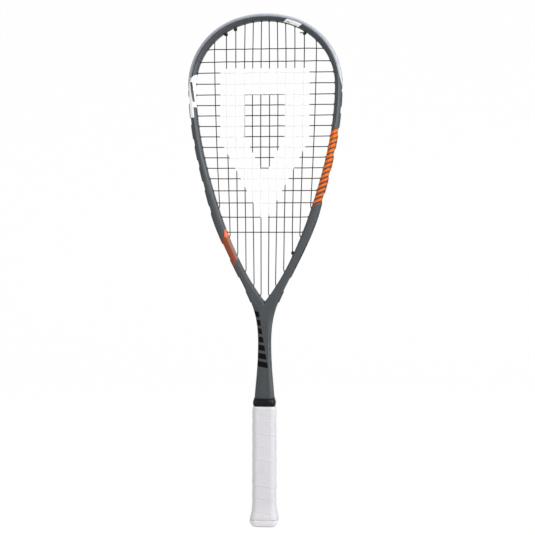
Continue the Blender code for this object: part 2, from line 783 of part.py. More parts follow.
def crossed_mains(z, wall):
    """Mains a cross at height z weaves through, left to right."""
    return [k for k in range(len(MAIN_TOP))
            if MAIN_TOP[k].along(-CROSS_END_CLEAR)[1] > z
            > MAIN_LOW[k].along(-CROSS_END_CLEAR)[1]
            and abs(main_x(k, z)) < wall - CROSS_WALL_CLEAR]


def cross_path():
    first_tie, last_tie = TIES["knot_cross_start"][0], TIES["knot_cross_end"][0]
    path = outward(first_tie, TIE_STEP)
    path += outside_loop(first_tie, CROSS_LEFT[0], FIRST_LANE)
    # the first cross runs rightward, the next one leftward, and so on
    starts, ends, order = CROSS_LEFT, CROSS_RIGHT, 1
    for k, z in enumerate(CROSS_Z):
        start, end = starts[k], ends[k]
        wall = abs(start.inner[0])
        mains = crossed_mains(z, wall)
        # beside the beam the cross goes straight from the main into its hole
        bend = 0.0
        if abs(main_x(mains[0], z)) > wall - CLOSE_WALL:
            start.lead = end.lead = CLOSE_LEAD
            bend = CLOSE_BEND
        path += inward(start, 0.0)
        for m in mains[::order]:
            y = WEAVE if (m + k) % 2 else -WEAVE
            away = bend * ((m == mains[-1]) - (m == mains[0]))
            path.append((main_x(m, z) + away, y, z))
        path += outward(end, 0.0)
        if k < len(CROSS_Z) - 1:
            path += outside_loop(end, ends[k + 1], LANE)
        starts, ends, order = ends, starts, -order
    path += outside_loop(CROSS_RIGHT[-1], last_tie, LANE)
    path += inward(last_tie, TIE_STEP)
    return path


def build_string(name, path, mat):
    """Tube along a run of points, closed at both ends."""
    curve = bpy.data.curves.new(name + "_run", 'CURVE')
    curve.dimensions = '3D'
    curve.bevel_depth = STRING_RADIUS * MM
    curve.bevel_resolution = 1
    curve.use_fill_caps = True
    curve.twist_mode = 'MINIMUM'
    spline = curve.splines.new('POLY')
    spline.points.add(len(path) - 1)
    for point, (x, y, z) in zip(spline.points, path):
        point.co = (x * MM, y * MM, z * MM, 1.0)
    run = bpy.data.objects.new(name + "_run", curve)
    PARTS.objects.link(run)
    depsgraph = bpy.context.evaluated_depsgraph_get()
    mesh = bpy.data.meshes.new_from_object(run.evaluated_get(depsgraph))
    bpy.data.objects.remove(run, do_unlink=True)
    bpy.data.curves.remove(curve)
    face_outward(mesh, weld=0.0000005)        # joins the end caps to the tube
    mesh.name = name
    mesh.materials.clear()
    add_part(name, mesh, mat)


def build_knot(name, hole, other):
    """Tie-off knot: a short rounded coil round the strand at a tie hole."""
    x, z = hole.bend()
    along = direction(hole.bend(), other.bend())
    axis = Vector((along[0] * SETTLE_RUN, TIE_STEP, along[1] * SETTLE_RUN)).normalized()
    mesh = bpy.data.meshes.new(name)
    count = len(KNOT_PROFILE)
    mesh.from_pydata([(radius * MM, 0.0, height * MM) for radius, height in KNOT_PROFILE],
                     [(k, (k + 1) % count) for k in range(count)], [])
    knot = add_part(name, mesh, KNOT_BLACK)
    turn = knot.modifiers.new("turn", 'SCREW')
    turn.steps = turn.render_steps = KNOT_STEPS
    turn.use_merge_vertices = True
    turn.merge_threshold = 0.000005
    turn.use_normal_calculate = True
    turn.use_smooth_shade = True
    knot.rotation_mode = 'QUATERNION'
    knot.rotation_quaternion = Vector((0.0, 0.0, 1.0)).rotation_difference(axis)
    knot.location = (x * MM, -TIE_STEP * MM, z * MM)


# ---------------------------------------------------------- handle
def octagon(half_x, half_y, z, bevel):
    """Rectangle section with its corners rounded in CORNER_STEPS steps."""
    radius = bevel * min(half_x, half_y)
    x, y = half_x - radius, half_y - radius
    ring = []
    for corner, (centre_x, centre_y) in enumerate(((x, y), (-x, y), (-x, -y), (x, -y))):
        for k in range(CORNER_STEPS + 1):
            angle = math.radians(90.0 * corner + 90.0 * k / CORNER_STEPS)
            ring.append((centre_x + radius * math.cos(angle),
                         centre_y + radius * math.sin(angle), z))
    return ring


def octagons(sections, bevel):
    return [octagon(*section, bevel) for section in sections]


def sleeve(name, outer, inner, mat, bevel=SLEEVE_BEVEL, inner_bevel=SLEEVE_BEVEL):
    """Tube lofted between stacks of (half x, half y, z) sections."""
    rings = octagons(outer, bevel) + octagons(reversed(inner), inner_bevel)
    return add_part(name, skin(name, rings, closed=True), mat)


def handle_stack(levels, inset):
    """Handle sections at the given heights, inset from the grip's surface."""
    stack = []
    for z in levels:
        flare = FLARE * (1.0 - smoothstep(FLARE_LOW_Z, FLARE_TOP_Z, z)) ** FLARE_POWER
        stack.append((GRIP_HALF_X + flare - inset, GRIP_HALF_Y + flare - inset, z))
    return stack


def build_grip():
    sleeve("grip_tape", handle_stack(GRIP_LEVELS, 0.0),
           handle_stack(GRIP_LEVELS, TAPE_THICKNESS), GRIP_WHITE,
           bevel=GRIP_BEVEL, inner_bevel=GRIP_BEVEL)


def build_core():
    """Moulded handle: steps in where the cap is pushed over it."""
    outer = (handle_stack(CORE_STEP_LEVELS, CORE_STEP_INSET)
             + handle_stack(CORE_LEVELS, SKIRT_INSET))
    inner = [(NECK_X + FIT, NECK_DEPTH + FIT, z)
             for z in (CORE_STEP_LEVELS[0], CORE_TOP_Z)]
    return sleeve("handle_core", outer, inner, CORE_FOAM, bevel=GRIP_BEVEL)


def build_cap():
    """Closed-bottomed cup lofted from the floor up and back down inside."""
    outer = [*CAP_BASE, *handle_stack(SKIRT_LEVELS[:1], 0.0),
             *handle_stack(SKIRT_LEVELS, SKIRT_INSET)]
    inner = handle_stack((CAP_FLOOR_Z,) + SKIRT_LEVELS, CAP_INSIDE_INSET)
    rings = octagons(outer + inner[::-1], GRIP_BEVEL)
    return add_part("butt_cap", skin("butt_cap", rings, caps="start end"), CAP_PLASTIC)


def box_cutter(name, boxes):
    """Cutter of boxes, each given by its x, y and z ranges in any order."""
    bm = bmesh.new()
    for box in boxes:
        size = Matrix.Diagonal([abs(b - a) * MM for a, b in box] + [1.0])
        move = Matrix.Translation([0.5 * (a + b) * MM for a, b in box])
        bmesh.ops.create_cube(bm, size=1.0, matrix=move @ size)
    return bmesh_cutter(name, bm)


def build_staple(name, side, cap, core):
    """Wire staple through the cap's skirt into the moulded handle."""
    outer_x = handle_stack((STAPLE_Z,), SKIRT_INSET)[0][0] - STAPLE_SINK
    inner_x = outer_x - STAPLE_WIRE
    inner_y = STAPLE_HALF_Y - STAPLE_WIRE
    outline = ((outer_x, -STAPLE_HALF_Y), (outer_x, STAPLE_HALF_Y),
               (STAPLE_LEG_X, STAPLE_HALF_Y), (STAPLE_LEG_X, inner_y),
               (inner_x, inner_y), (inner_x, -inner_y),
               (STAPLE_LEG_X, -inner_y), (STAPLE_LEG_X, -STAPLE_HALF_Y))
    flat_outline(name, [(side * x, y) for x, y in outline],
                 STAPLE_Z - STAPLE_HALF_Z, STAPLE_Z + STAPLE_HALF_Z, STEEL)

    grip_x = handle_stack((STAPLE_Z,), 0.0)[0][0]
    cut_y = STAPLE_HALF_Y + STAPLE_CLEAR
    cut_half_z = STAPLE_HALF_Z + STAPLE_CLEAR
    z_range = (STAPLE_Z - cut_half_z, STAPLE_Z + cut_half_z)
    recess = box_cutter(name + "_recess", [
        ((side * (inner_x - STAPLE_CLEAR), side * grip_x), (-cut_y, cut_y), z_range)])
    leg_range = (side * (STAPLE_LEG_X - LEG_END_CLEAR), side * (grip_x - LEG_CUT_INSET))
    legs = box_cutter(name + "_legs", [
        (leg_range, (end * (inner_y - STAPLE_CLEAR), end * cut_y), z_range)
        for end in (-1, 1)])
    boolean(cap, recess, 'DIFFERENCE')
    boolean(cap, legs, 'DIFFERENCE')
    boolean(core, legs, 'DIFFERENCE')


def build_collar():
    """Rubber collar: a tall rounded tier and a slimmer ring above it.

    Its origin is at the middle of its lower end.
    """
    outer = []
    for low_z, top_z, steps in ((COLLAR_LOW_Z, COLLAR_MID_Z, COLLAR_TIER),
                                (COLLAR_MID_Z, COLLAR_TOP_Z, COLLAR_RING)):
        for f, drop in steps:
            outer.append((COLLAR_HALF_X - drop, COLLAR_HALF_Y - drop,
                          low_z - COLLAR_LOW_Z + f * (top_z - low_z)))
    inner = [(*COLLAR_BORE, z) for z in (0.0, COLLAR_TOP_Z - COLLAR_LOW_Z)]
    collar = sleeve("collar", outer, inner, RUBBER)
    collar.location = (0.0, 0.0, COLLAR_LOW_Z * MM)


def build_plugs():
    """Foam plugs in the two bores of the shaft."""
    half = [(u + a, y + b)
            for (u, y), (a, b) in zip(bore_half(STATIONS[-1]), PLUG_INSET)]
    for side, tag in SIDES:
        flat_outline("shaft_plug_" + tag, [(side * x, y) for x, y in mirrored_ring(half)],
                     PLUG_LOW_Z, PLUG_TOP_Z, PLUG_FOAM)


def build_handle():
    build_grip()
    core = build_core()
    cap = build_cap()
    for side, tag in SIDES:
        build_staple("cap_staple_" + tag, side, cap, core)
    # on the shaft under the collar
    sleeve("finishing_tape", TAPE_OUTER, TAPE_INNER, TAPE_VINYL)
    build_collar()
    build_plugs()


build_frame()
build_strips()
build_string("main_string", main_path(), MAIN_GUT)
build_string("cross_string", cross_path(), CROSS_GUT)
for knot_name, (tied, opposite) in TIES.items():
    build_knot(knot_name, tied, opposite)
build_handle()
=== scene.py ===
"""A squash racket standing upright on its butt end in a white studio.

The string bed lies in the xz plane. -y is the front, +x the right seen from
the front, and z rises from the butt end to the crown of the head. Design sizes
are in millimetres; meshes and the studio are in metres.
"""
import math
from collections import namedtuple
from functools import cached_property
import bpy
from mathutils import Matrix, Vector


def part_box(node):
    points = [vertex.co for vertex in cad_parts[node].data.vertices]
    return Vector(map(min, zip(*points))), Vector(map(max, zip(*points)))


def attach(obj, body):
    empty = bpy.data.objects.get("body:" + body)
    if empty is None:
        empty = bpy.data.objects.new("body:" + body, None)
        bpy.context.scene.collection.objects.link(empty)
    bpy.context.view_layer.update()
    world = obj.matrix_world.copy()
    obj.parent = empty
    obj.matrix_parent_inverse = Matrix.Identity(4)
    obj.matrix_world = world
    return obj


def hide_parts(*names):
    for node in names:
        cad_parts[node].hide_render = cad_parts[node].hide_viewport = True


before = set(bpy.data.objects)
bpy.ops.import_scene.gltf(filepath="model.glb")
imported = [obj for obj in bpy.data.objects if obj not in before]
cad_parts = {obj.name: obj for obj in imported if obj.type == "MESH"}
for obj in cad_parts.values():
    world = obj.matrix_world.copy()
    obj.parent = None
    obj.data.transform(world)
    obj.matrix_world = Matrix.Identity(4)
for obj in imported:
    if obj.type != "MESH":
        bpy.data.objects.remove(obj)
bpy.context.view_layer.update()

from types import SimpleNamespace

import bmesh
import bpy
import numpy as np
from mathutils import Matrix, Vector

MM = 0.001

# Knots of the right half outlines, outer (_O) and inner (_I):
# x, z, heading in degrees, curve handle before the knot, handle after it
CROWN_O = (0.0, 684.4, 0.0, 0.0, 62.9)
WIDEST_O = (102.35, 589.6, -90.0, 51.8, 60.1)
ARM_O = (72.0, 419.3, -105.3, 58.6, 39.5)
THROAT_O = (17.7, 299.0, -111.6, 26.0, 11.3)
WAIST_O = (8.35, 245.6, -90.0, 27.5, 30.9)
ENTRY_O = (12.9, 171.2, -85.7, 25.9, 0.0)
CROWN_I = (0.0, 676.5, 0.0, 0.0, 53.2)
WIDEST_I = (93.4, 589.9, -90.0, 47.8, 57.1)
ARM_I = (61.65, 423.3, -108.2, 56.9, 33.6)
LOWER_I = (20.4, 329.3, -121.0, 30.6, 13.0)
TIP_I = (0.0, 300.8, -180.0, 2.0, 0.0)

# Straight shaft inside the handle
NECK_X, NECK_Z, SHAFT_END_Z = 12.1, 160.0, 14.0
# Half depths of the beam, front to middle plane
HOOP_DEPTH, THROAT_DEPTH, WAIST_DEPTH, ENTRY_DEPTH, NECK_DEPTH = 9.0, 10.0, 9.7, 10.6, 10.3
ARM_BOX = 0.6           # how boxy the section is where the arms begin
SHAFT_FLAT = 5.0        # half width of the flat on the shaft
GROOVE_HALF, GROOVE_DEPTH = 4.2, 1.4
# Crested section: crest edge as a share of the width, then the outer shoulder's
# distance from the outer wall and its height as a share of the half depth
CREST_SHARE, SHOULDER_IN, SHOULDER_HIGH = 0.43, 0.7, 0.68

# Strings
STRING_R = 0.66
LANE = 1.5              # distance of the outside loops from the middle plane
START_LANE = 2.2        # the same for the first loop of the cross string
LOOP_UP = 0.72          # height of the loops over the outer outline
TIE_STEP = 0.76         # two strands share a tie hole, this far off the middle
LEAD, THROAT_LEAD, TIE_LEAD = 1.5, 1.9, 0.9     # straight run inside the head
MAIN_WAVE, CROSS_WAVE = 0.38, 1.00              # weave height at a crossing
# Mains, from the middle outward: distance from the middle line at three heights
FAN_Z = (650.0, 515.0, 404.0)
FAN_X = ((5.4, 5.97, 5.27), (16.6, 17.0, 15.65), (27.7, 27.7, 26.0),
         (39.9, 38.7, 36.95), (52.6, 50.6, 47.3), (68.9, 65.4, 59.8))
MAIN_LOW_X = (4.95, 14.4, 25.3, 36.6, 46.9, 61.2)       # at the throat holes
THROAT_TILT = (34.0, 50.0, 36.0, 50.0, 38.0, 46.0)      # hole fall, degrees
CROSS_TOP_Z = 639.1
CROSS_PITCHES = (16.9, 14.75, 14.75, 14.75) + (14.1,) * 8 + (16.2, 16.3, 19.2, 20.2)

# Lower ends of the guard and of the strips
GUARD_END_Z, SIDE_END_Z, THROAT_END_Z = 584.0, 346.0, 299.6

# Handle
GRIP_HALF_X, GRIP_HALF_Y = 15.8, 14.0
GRIP_TOP_Z, GRIP_LOW_Z = 160.6, 9.3
TAPE_PITCH, TAPE_LAP, TAPE_THICK = 17.3, 0.34, 1.3


# ------------------------------------------------------------- mesh helpers
def smoothstep(low, high, value):
    t = min(1.0, max(0.0, (value - low) / (high - low)))
    return t * t * (3 - 2 * t)


def make(name, verts, faces, mat, attrs=None, body="racket", weld=0.0):
    """Smooth mesh piece from points in millimetres, faces turned outward."""
    mesh = bpy.data.meshes.new(name)
    mesh.from_pydata([(v[0] * MM, v[1] * MM, v[2] * MM) for v in verts], [], faces)
    for key, values in (attrs or {}).items():
        layer = mesh.attributes.new(key, 'FLOAT', 'POINT')
        layer.data.foreach_set("value", np.array(values, np.float32))
    work = bmesh.new()
    work.from_mesh(mesh)
    if weld:
        bmesh.ops.remove_doubles(work, verts=work.verts, dist=weld * MM)
        bmesh.ops.dissolve_degenerate(work, edges=work.edges, dist=weld * 0.5 * MM)
    bmesh.ops.recalc_face_normals(work, faces=work.faces)
    work.to_mesh(mesh)
    work.free()
    for poly in mesh.polygons:
        poly.use_smooth = True
    mesh.materials.append(mat)
    ob = bpy.data.objects.new(name, mesh)
    bpy.context.scene.collection.objects.link(ob)
    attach(ob, body)
    return ob


def add_weighted_normals(ob):
    modifier = ob.modifiers.new("normals", 'WEIGHTED_NORMAL')
    modifier.weight = 60
    return modifier


def grid_faces(rows, cols, base=0, close_rows=False, close_cols=True, skip=None):
    """Quads over rows of points, optionally joined back to the start."""
    faces = []
    for r in range(rows if close_rows else rows - 1):
        here, there = base + r * cols, base + (r + 1) % rows * cols
        for c in range(cols if close_cols else cols - 1):
            if skip and skip(r, c):
                continue
            d = (c + 1) % cols
            faces.append((here + c, here + d, there + d, there + c))
    return faces


def end_faces(rows, cols):
    """One face on the first row of points and one on the last."""
    last = (rows - 1) * cols
    return [tuple(range(cols)), tuple(range(last, last + cols))]


def soften(points, radius, steps, closed=False):
    """Rounds each corner of a run of points with a short curve."""
    points = [np.array(p, float) for p in points]
    count = len(points)
    out = []
    for k, corner in enumerate(points):
        if not closed and k in (0, count - 1):
            out.append(tuple(corner))
            continue
        before, after = points[k - 1], points[(k + 1) % count]
        reach = radius[k] if isinstance(radius, (list, tuple)) else radius
        gap_in = np.linalg.norm(before - corner)
        gap_out = np.linalg.norm(after - corner)
        start = corner + (before - corner) * min(reach / max(gap_in, 1e-9), 0.48)
        end = corner + (after - corner) * min(reach / max(gap_out, 1e-9), 0.48)
        for s in range(steps + 1):
            t = s / steps
            out.append(tuple((1 - t) ** 2 * start + 2 * (1 - t) * t * corner + t * t * end))
    return out


def mirrored(half, on_plane=False):
    """Whole ring from its front half. Ends on the middle plane aren't doubled."""
    back = half[-2:0:-1] if on_plane else half[::-1]
    return [(u, -y) for u, y in half] + [(u, y) for u, y in back]


def string_piece(name, points, sides, mat, node):
    """Capped round string along points."""
    points = [Vector(p) for p in points]
    verts, run, turn = [], [], []
    up = None
    length = 0.0
    for k, centre in enumerate(points):
        behind = points[max(0, k - 1)]
        ahead = points[min(len(points) - 1, k + 1)]
        heading = (ahead - behind).normalized()
        if up is None:
            up = heading.orthogonal().normalized()
        up = (up - heading * up.dot(heading)).normalized()
        side = heading.cross(up)
        if k:
            length += (centre - points[k - 1]).length
        for s in range(sides):
            angle = math.tau * s / sides
            verts.append(tuple(centre + up * (STRING_R * math.cos(angle))
                               + side * (STRING_R * math.sin(angle))))
            run.append(length)
            turn.append(s / sides)
    faces = grid_faces(len(points), sides) + end_faces(len(points), sides)
    ob = make(name, verts, faces, mat, {"run": run, "turn": turn})
    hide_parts(node)


# -------------------------------------------------------------- the outlines
# One cross section of the right half: outer and inner point (x, z), half depth,
# then shares of boxy shape, of shaft shape and of the string groove
Station = namedtuple("Station", "outer inner depth box shaft groove")
FINE = [i / 400 for i in range(401)]


def bezier(start, end, t):
    """Point of the curve between two knots."""
    x0, z0, heading0, _, reach0 = start
    x1, z1, heading1, reach1, _ = end
    heading0, heading1 = math.radians(heading0), math.radians(heading1)
    weights = ((1 - t) ** 3, 3 * (1 - t) ** 2 * t, 3 * (1 - t) * t * t, t ** 3)
    controls = ((x0, x0 + math.cos(heading0) * reach0, x1 - math.cos(heading1) * reach1, x1),
                (z0, z0 + math.sin(heading0) * reach0, z1 - math.sin(heading1) * reach1, z1))
    return tuple(sum(weight * value for weight, value in zip(weights, values))
                 for values in controls)


def trace(knots):
    """Dense points of the curve through the knots."""
    points = [bezier(knots[0], knots[1], t) for t in FINE]
    for start, end in zip(knots[1:], knots[2:]):
        points += [bezier(start, end, t) for t in FINE[1:]]
    return points


def dist(a, b):
    return math.hypot(a[0] - b[0], a[1] - b[1])


def run_lengths(points):
    """Length from the first point to each point."""
    run = [0.0]
    for a, b in zip(points[:-1], points[1:]):
        run.append(run[-1] + dist(a, b))
    return run


def by_arc(points, fractions):
    """Points at fractions of the length of a line."""
    run = run_lengths(points)
    out, i = [], 0
    for fraction in fractions:
        want = fraction * run[-1]
        while i < len(run) - 2 and run[i + 1] < want:
            i += 1
        share = (want - run[i]) / (run[i + 1] - run[i])
        out.append((points[i][0] + share * (points[i + 1][0] - points[i][0]),
                    points[i][1] + share * (points[i + 1][1] - points[i][1])))
    return out


def build_stations():
    """Stations from the crown to the butt, and the index of the one at the crotch."""
    hoop_count, side_count, arm_count, waist_count, shaft_count = 66, 58, 70, 30, 18
    rows = []

    fractions = [i / hoop_count for i in range(hoop_count + 1)]
    for outer, inner in zip(by_arc(trace((CROWN_O, WIDEST_O)), fractions),
                            by_arc(trace((CROWN_I, WIDEST_I)), fractions)):
        rows.append(Station(outer, inner, HOOP_DEPTH, 0.0, 0.0, 1.0))

    fractions = [i / side_count for i in range(1, side_count + 1)]
    for f, outer, inner in zip(fractions, by_arc(trace((WIDEST_O, ARM_O)), fractions),
                               by_arc(trace((WIDEST_I, ARM_I)), fractions)):
        rows.append(Station(outer, inner, HOOP_DEPTH, ARM_BOX * smoothstep(0.35, 1.0, f),
                            0.0, 1.0))

    # the stations of the arm draw closer toward the crotch
    fractions = [(i / arm_count) * (1.25 - 0.25 * i / arm_count)
                 for i in range(1, arm_count + 1)]
    outers = by_arc(trace((ARM_O, THROAT_O)), fractions)
    inners = by_arc(trace((ARM_I, LOWER_I, TIP_I)), fractions)
    for k, (outer, inner) in enumerate(zip(outers, inners)):
        f = (k + 1) / arm_count
        rows.append(Station(
            outer, inner, HOOP_DEPTH + (THROAT_DEPTH - HOOP_DEPTH) * smoothstep(0, 1, f),
            ARM_BOX + (1.0 - ARM_BOX) * smoothstep(0.0, 0.5, f), 0.0, 1.0))
    crotch = len(rows) - 1

    # below the crotch the inner line is the middle line
    lead = TIP_I[1] - THROAT_O[1]
    for k in range(1, waist_count + 1):
        f = k / waist_count
        outer = bezier(THROAT_O, WAIST_O, f)
        rows.append(Station(
            outer, (0.0, outer[1] + lead * (1 - f) ** 2),
            THROAT_DEPTH + (WAIST_DEPTH - THROAT_DEPTH) * f, 1.0,
            smoothstep(0.0, 0.5, f), 1.0 - smoothstep(0.0, 0.16, f)))
    for k in range(1, shaft_count + 1):
        f = k / shaft_count
        outer = bezier(WAIST_O, ENTRY_O, f)
        rows.append(Station(outer, (0.0, outer[1]),
                            WAIST_DEPTH + (ENTRY_DEPTH - WAIST_DEPTH) * f, 1.0, 1.0, 0.0))
    for z in (NECK_Z, SHAFT_END_Z):
        rows.append(Station((NECK_X, z), (0.0, z), NECK_DEPTH, 1.0, 1.0, 0.0))
    return rows, crotch


ROWS, CROTCH = build_stations()


def blend(a, b, share):
    return a * (1 - share) + b * share


def beam_section(width, row):
    """Front half of a beam section and the radius of each corner.

    Points are (distance from the inner wall, height over the middle plane).
    """
    h = row.depth
    crest = ((0.0, 0.50 * h), (0.8, 0.66 * h), (CREST_SHARE * width, h),
             (0.57 * width, h), (width - SHOULDER_IN, SHOULDER_HIGH * h), (width, 0.60 * h))
    boxy = ((0.0, 0.72 * h), (0.8, 0.90 * h), (2.6, h),
            (width - 2.6, h), (width - 0.8, 0.90 * h), (width, 0.72 * h))
    flat = ((0.0, h), (0.33 * SHAFT_FLAT, h), (0.66 * SHAFT_FLAT, h),
            (SHAFT_FLAT, h), (0.5 * (width + SHAFT_FLAT), 0.90 * h), (width, 0.68 * h))
    points = []
    for j, shapes in enumerate(zip(crest, boxy, flat)):
        # the web below the crotch fills the middle before the flat widens
        share = max(row.shaft, 1.0 - row.groove) if j < 2 else row.shaft
        points.append(tuple(blend(blend(a, b, row.box), c, share) for a, b, c in zip(*shapes)))
    points.append((width, GROOVE_HALF))
    points.append((width - GROOVE_DEPTH * row.groove, GROOVE_HALF - 0.25))
    return points, [0.9, 1.0, 1.6, 1.6, 1.2, 1.0, 0.35, 0.3]


# ------------------------------------------------------ node material helpers
def math_op(operation):
    """Method that feeds a value and its operands to a math node."""
    def apply(self, *operands):
        node = self.tree.nodes.new('ShaderNodeMath')
        node.operation = operation
        self.tree.links.new(self.socket, node.inputs[0])
        for k, operand in enumerate(operands, 1):
            if isinstance(operand, Value):
                self.tree.links.new(operand.socket, node.inputs[k])
            else:
                node.inputs[k].default_value = operand
        return Value(self.tree, node.outputs[0])
    return apply


class Value:
    """A shader socket used like a number; masks join with & and |, ~ inverts."""

    def __init__(self, tree, socket):
        self.tree, self.socket = tree, socket

    __add__ = math_op('ADD')
    __sub__ = math_op('SUBTRACT')
    __mul__ = math_op('MULTIPLY')
    __truediv__ = math_op('DIVIDE')
    __pow__ = math_op('POWER')
    __gt__ = math_op('GREATER_THAN')
    __lt__ = math_op('LESS_THAN')
    __and__ = math_op('MULTIPLY')
    __or__ = math_op('MAXIMUM')
    __abs__ = math_op('ABSOLUTE')
    fract = math_op('FRACT')

    def __invert__(self):
        one = self.tree.nodes.new('ShaderNodeValue')
        one.outputs[0].default_value = 1.0
        return Value(self.tree, one.outputs[0]) - self

    def ramp(self, start, end):
        """0 below start, 1 above end, smooth between."""
        node = self.tree.nodes.new('ShaderNodeMapRange')
        node.interpolation_type = 'SMOOTHSTEP'
        self.tree.links.new(self.socket, node.inputs['Value'])
        node.inputs['From Min'].default_value = start
        node.inputs['From Max'].default_value = end
        return Value(self.tree, node.outputs['Result'])


class Finish:
    """A Principled material assembled from Values; x, y, z are in millimetres."""

    def __init__(self, name, rough, rgb):
        self.mat = bpy.data.materials.new(name)
        self.mat.use_nodes = True
        self.tree = self.mat.node_tree
        self.bsdf = self.tree.nodes["Principled BSDF"]
        self.set("Roughness", rough)
        base = self.tree.nodes.new('ShaderNodeRGB')
        base.outputs[0].default_value = (*rgb, 1.0)
        self.colour = base.outputs[0]
        self.height = None

    @cached_property
    def place(self):
        return self.tree.nodes.new('ShaderNodeTexCoord').outputs['Object']

    @cached_property
    def split(self):
        node = self.tree.nodes.new('ShaderNodeSeparateXYZ')
        self.tree.links.new(self.place, node.inputs[0])
        return node

    def _axis(self, index):
        return Value(self.tree, self.split.outputs[index]) * (1.0 / MM)

    x = cached_property(lambda self: self._axis(0))
    y = cached_property(lambda self: self._axis(1))
    z = cached_property(lambda self: self._axis(2))

    def attribute(self, name):
        node = self.tree.nodes.new('ShaderNodeAttribute')
        node.attribute_name = name
        return Value(self.tree, node.outputs['Fac'])

    def noise(self, scale, detail, rough=0.5, stretch=None):
        node = self.tree.nodes.new('ShaderNodeTexNoise')
        node.inputs['Scale'].default_value = scale
        node.inputs['Detail'].default_value = detail
        node.inputs['Roughness'].default_value = rough
        vector = self.place
        if stretch:
            mapping = self.tree.nodes.new('ShaderNodeMapping')
            mapping.inputs['Scale'].default_value = stretch
            self.tree.links.new(self.place, mapping.inputs['Vector'])
            vector = mapping.outputs[0]
        self.tree.links.new(vector, node.inputs['Vector'])
        return Value(self.tree, node.outputs['Fac'])

    def cells(self, scale, feature='F1'):
        node = self.tree.nodes.new('ShaderNodeTexVoronoi')
        node.feature = feature
        node.inputs['Scale'].default_value = scale
        self.tree.links.new(self.place, node.inputs['Vector'])
        return Value(self.tree, node.outputs['Distance'])

    def _mix(self, blend_type):
        node = self.tree.nodes.new('ShaderNodeMix')
        node.data_type = 'RGBA'
        node.blend_type = blend_type
        self.tree.links.new(self.colour, node.inputs[6])
        self.colour = node.outputs[2]
        return node

    def tint(self, factor, rgb):
        """Mixes a colour over what is there."""
        node = self._mix('MIX')
        self.tree.links.new(factor.socket, node.inputs[0])
        node.inputs[7].default_value = (*rgb, 1.0)

    def shade(self, value, at0, at1):
        """Multiplies the colour by at0 where value is 0 and by at1 where 1."""
        node = self._mix('MULTIPLY')
        node.inputs[0].default_value = 1.0
        grey = value * (at1 - at0) + at0
        combine = self.tree.nodes.new('ShaderNodeCombineColor')
        for k in range(3):
            self.tree.links.new(grey.socket, combine.inputs[k])
        self.tree.links.new(combine.outputs[0], node.inputs[7])

    def set(self, key, value):
        if isinstance(value, Value):
            self.tree.links.new(value.socket, self.bsdf.inputs[key])
        else:
            self.bsdf.inputs[key].default_value = value

    def set_rough(self, value, least, spread):
        """Roughness of least where value is 0, and spread more where 1."""
        self.set("Roughness", value * spread + least)

    def bump(self, value, depth):
        """Adds relief, depth in millimetres for a value of 1."""
        value = value * depth
        self.height = value if self.height is None else self.height + value

    def done(self):
        self.tree.links.new(self.colour, self.bsdf.inputs["Base Color"])
        if self.height is not None:
            node = self.tree.nodes.new('ShaderNodeBump')
            node.inputs['Strength'].default_value = 1.0
            node.inputs['Distance'].default_value = MM
            self.tree.links.new(self.height.socket, node.inputs['Height'])
            self.tree.links.new(node.outputs[0], self.bsdf.inputs["Normal"])
        return self.mat


# ------------------------------------------------------------ frame materials
SLATE = (0.046, 0.0545, 0.0590)
ORANGE = (0.76, 0.150, 0.014)
WHITE = (0.96, 0.96, 0.98)
INK = (0.0025, 0.0025, 0.003)

# Band on the right beam: its ends, measured at the middle line, and its slope
BAND_LOW, BAND_HIGH, BAND_SLOPE = 400.5, 491.5, 0.42
# Dark stripes: pitch, and the orange share of the pitch at a height
STRIPE_PITCH, STRIPE_Z, STRIPE_SHARE = 5.85, 430.0, 0.52


def striped_band(finish, right):
    """Mask of the slanted band, and its stripe phase from 0 to 1."""
    slant = finish.z - finish.x * BAND_SLOPE
    band = right & (slant < BAND_HIGH) & (slant > BAND_LOW)
    return band, (slant / STRIPE_PITCH).fract()


def paint_band(finish, right):
    """Orange band on the right beam, crossed by dark slanted stripes."""
    growth, growth_height = 0.20, 102.0     # the orange share grows with height
    band, phase = striped_band(finish, right)
    bars = phase > (finish.z - STRIPE_Z) / growth_height * growth + STRIPE_SHARE
    finish.tint(band & ~bars, ORANGE)
    finish.tint(band & bars, (0.075, 0.062, 0.056))
    return band


def paint_block(finish, left, across):
    """Orange block on the left arm, darkened to brown as painted shade, with a painted pale
    reflection along its inner edge and a painted highlight at its bright tip.
    """
    z = finish.z
    low, low_lean = 358.5, 12.0         # height at the inner wall, fall across
    high, high_lean = 388.5, 4.5
    highlight_low, highlight_high = 386.5, 397.0
    highlight_width, highlight_taper = 0.09, 0.034  # share of the beam, and its gain per mm down
    block = left & (z + across * low_lean > low) & (z + across * high_lean < high)
    # the orange paint darkened to brown: painted shade on the slope that faces away from the
    # light
    finish.tint(block, (0.255, 0.060, 0.028))
    # greyish pink toward the inner wall: a painted reflection
    finish.tint(block & ~across.ramp(start=0.04, end=0.40), (0.30, 0.18, 0.15))
    # bright orange at the top of the block: a painted highlight on the slope that faces the
    # light
    tip = (left & (z < highlight_high) & (z > highlight_low)
           & (across + (z - highlight_high) * highlight_taper < highlight_width))
    finish.tint(tip, (0.88, 0.140, 0.024))
    return block


def paint_shoulder(finish, left, across):
    """White panel on the left shoulder with a slanted slate slot."""
    z = finish.z
    high, high_lean = 605.0, 7.0        # height at the inner wall, fall across
    low, outer_low, outer_from = 561.0, 547.0, 0.42     # it reaches lower outside
    slot_low, slot_high = 568.0, 594.5
    slot_place, slot_lean = 0.29, 0.0125        # share of the beam, change per mm
    slot_half, slot_growth = 0.165, 0.0012
    panel = (left & (z + across * high_lean < high)
             & ((z > low) | ((z > outer_low) & (across > outer_from))))
    slot = ((abs(across - (z - slot_low) * slot_lean - slot_place)
             < (z - slot_low) * slot_growth + slot_half)
            & (z > slot_low) & (z < slot_high))
    finish.tint(panel & ~slot, WHITE)


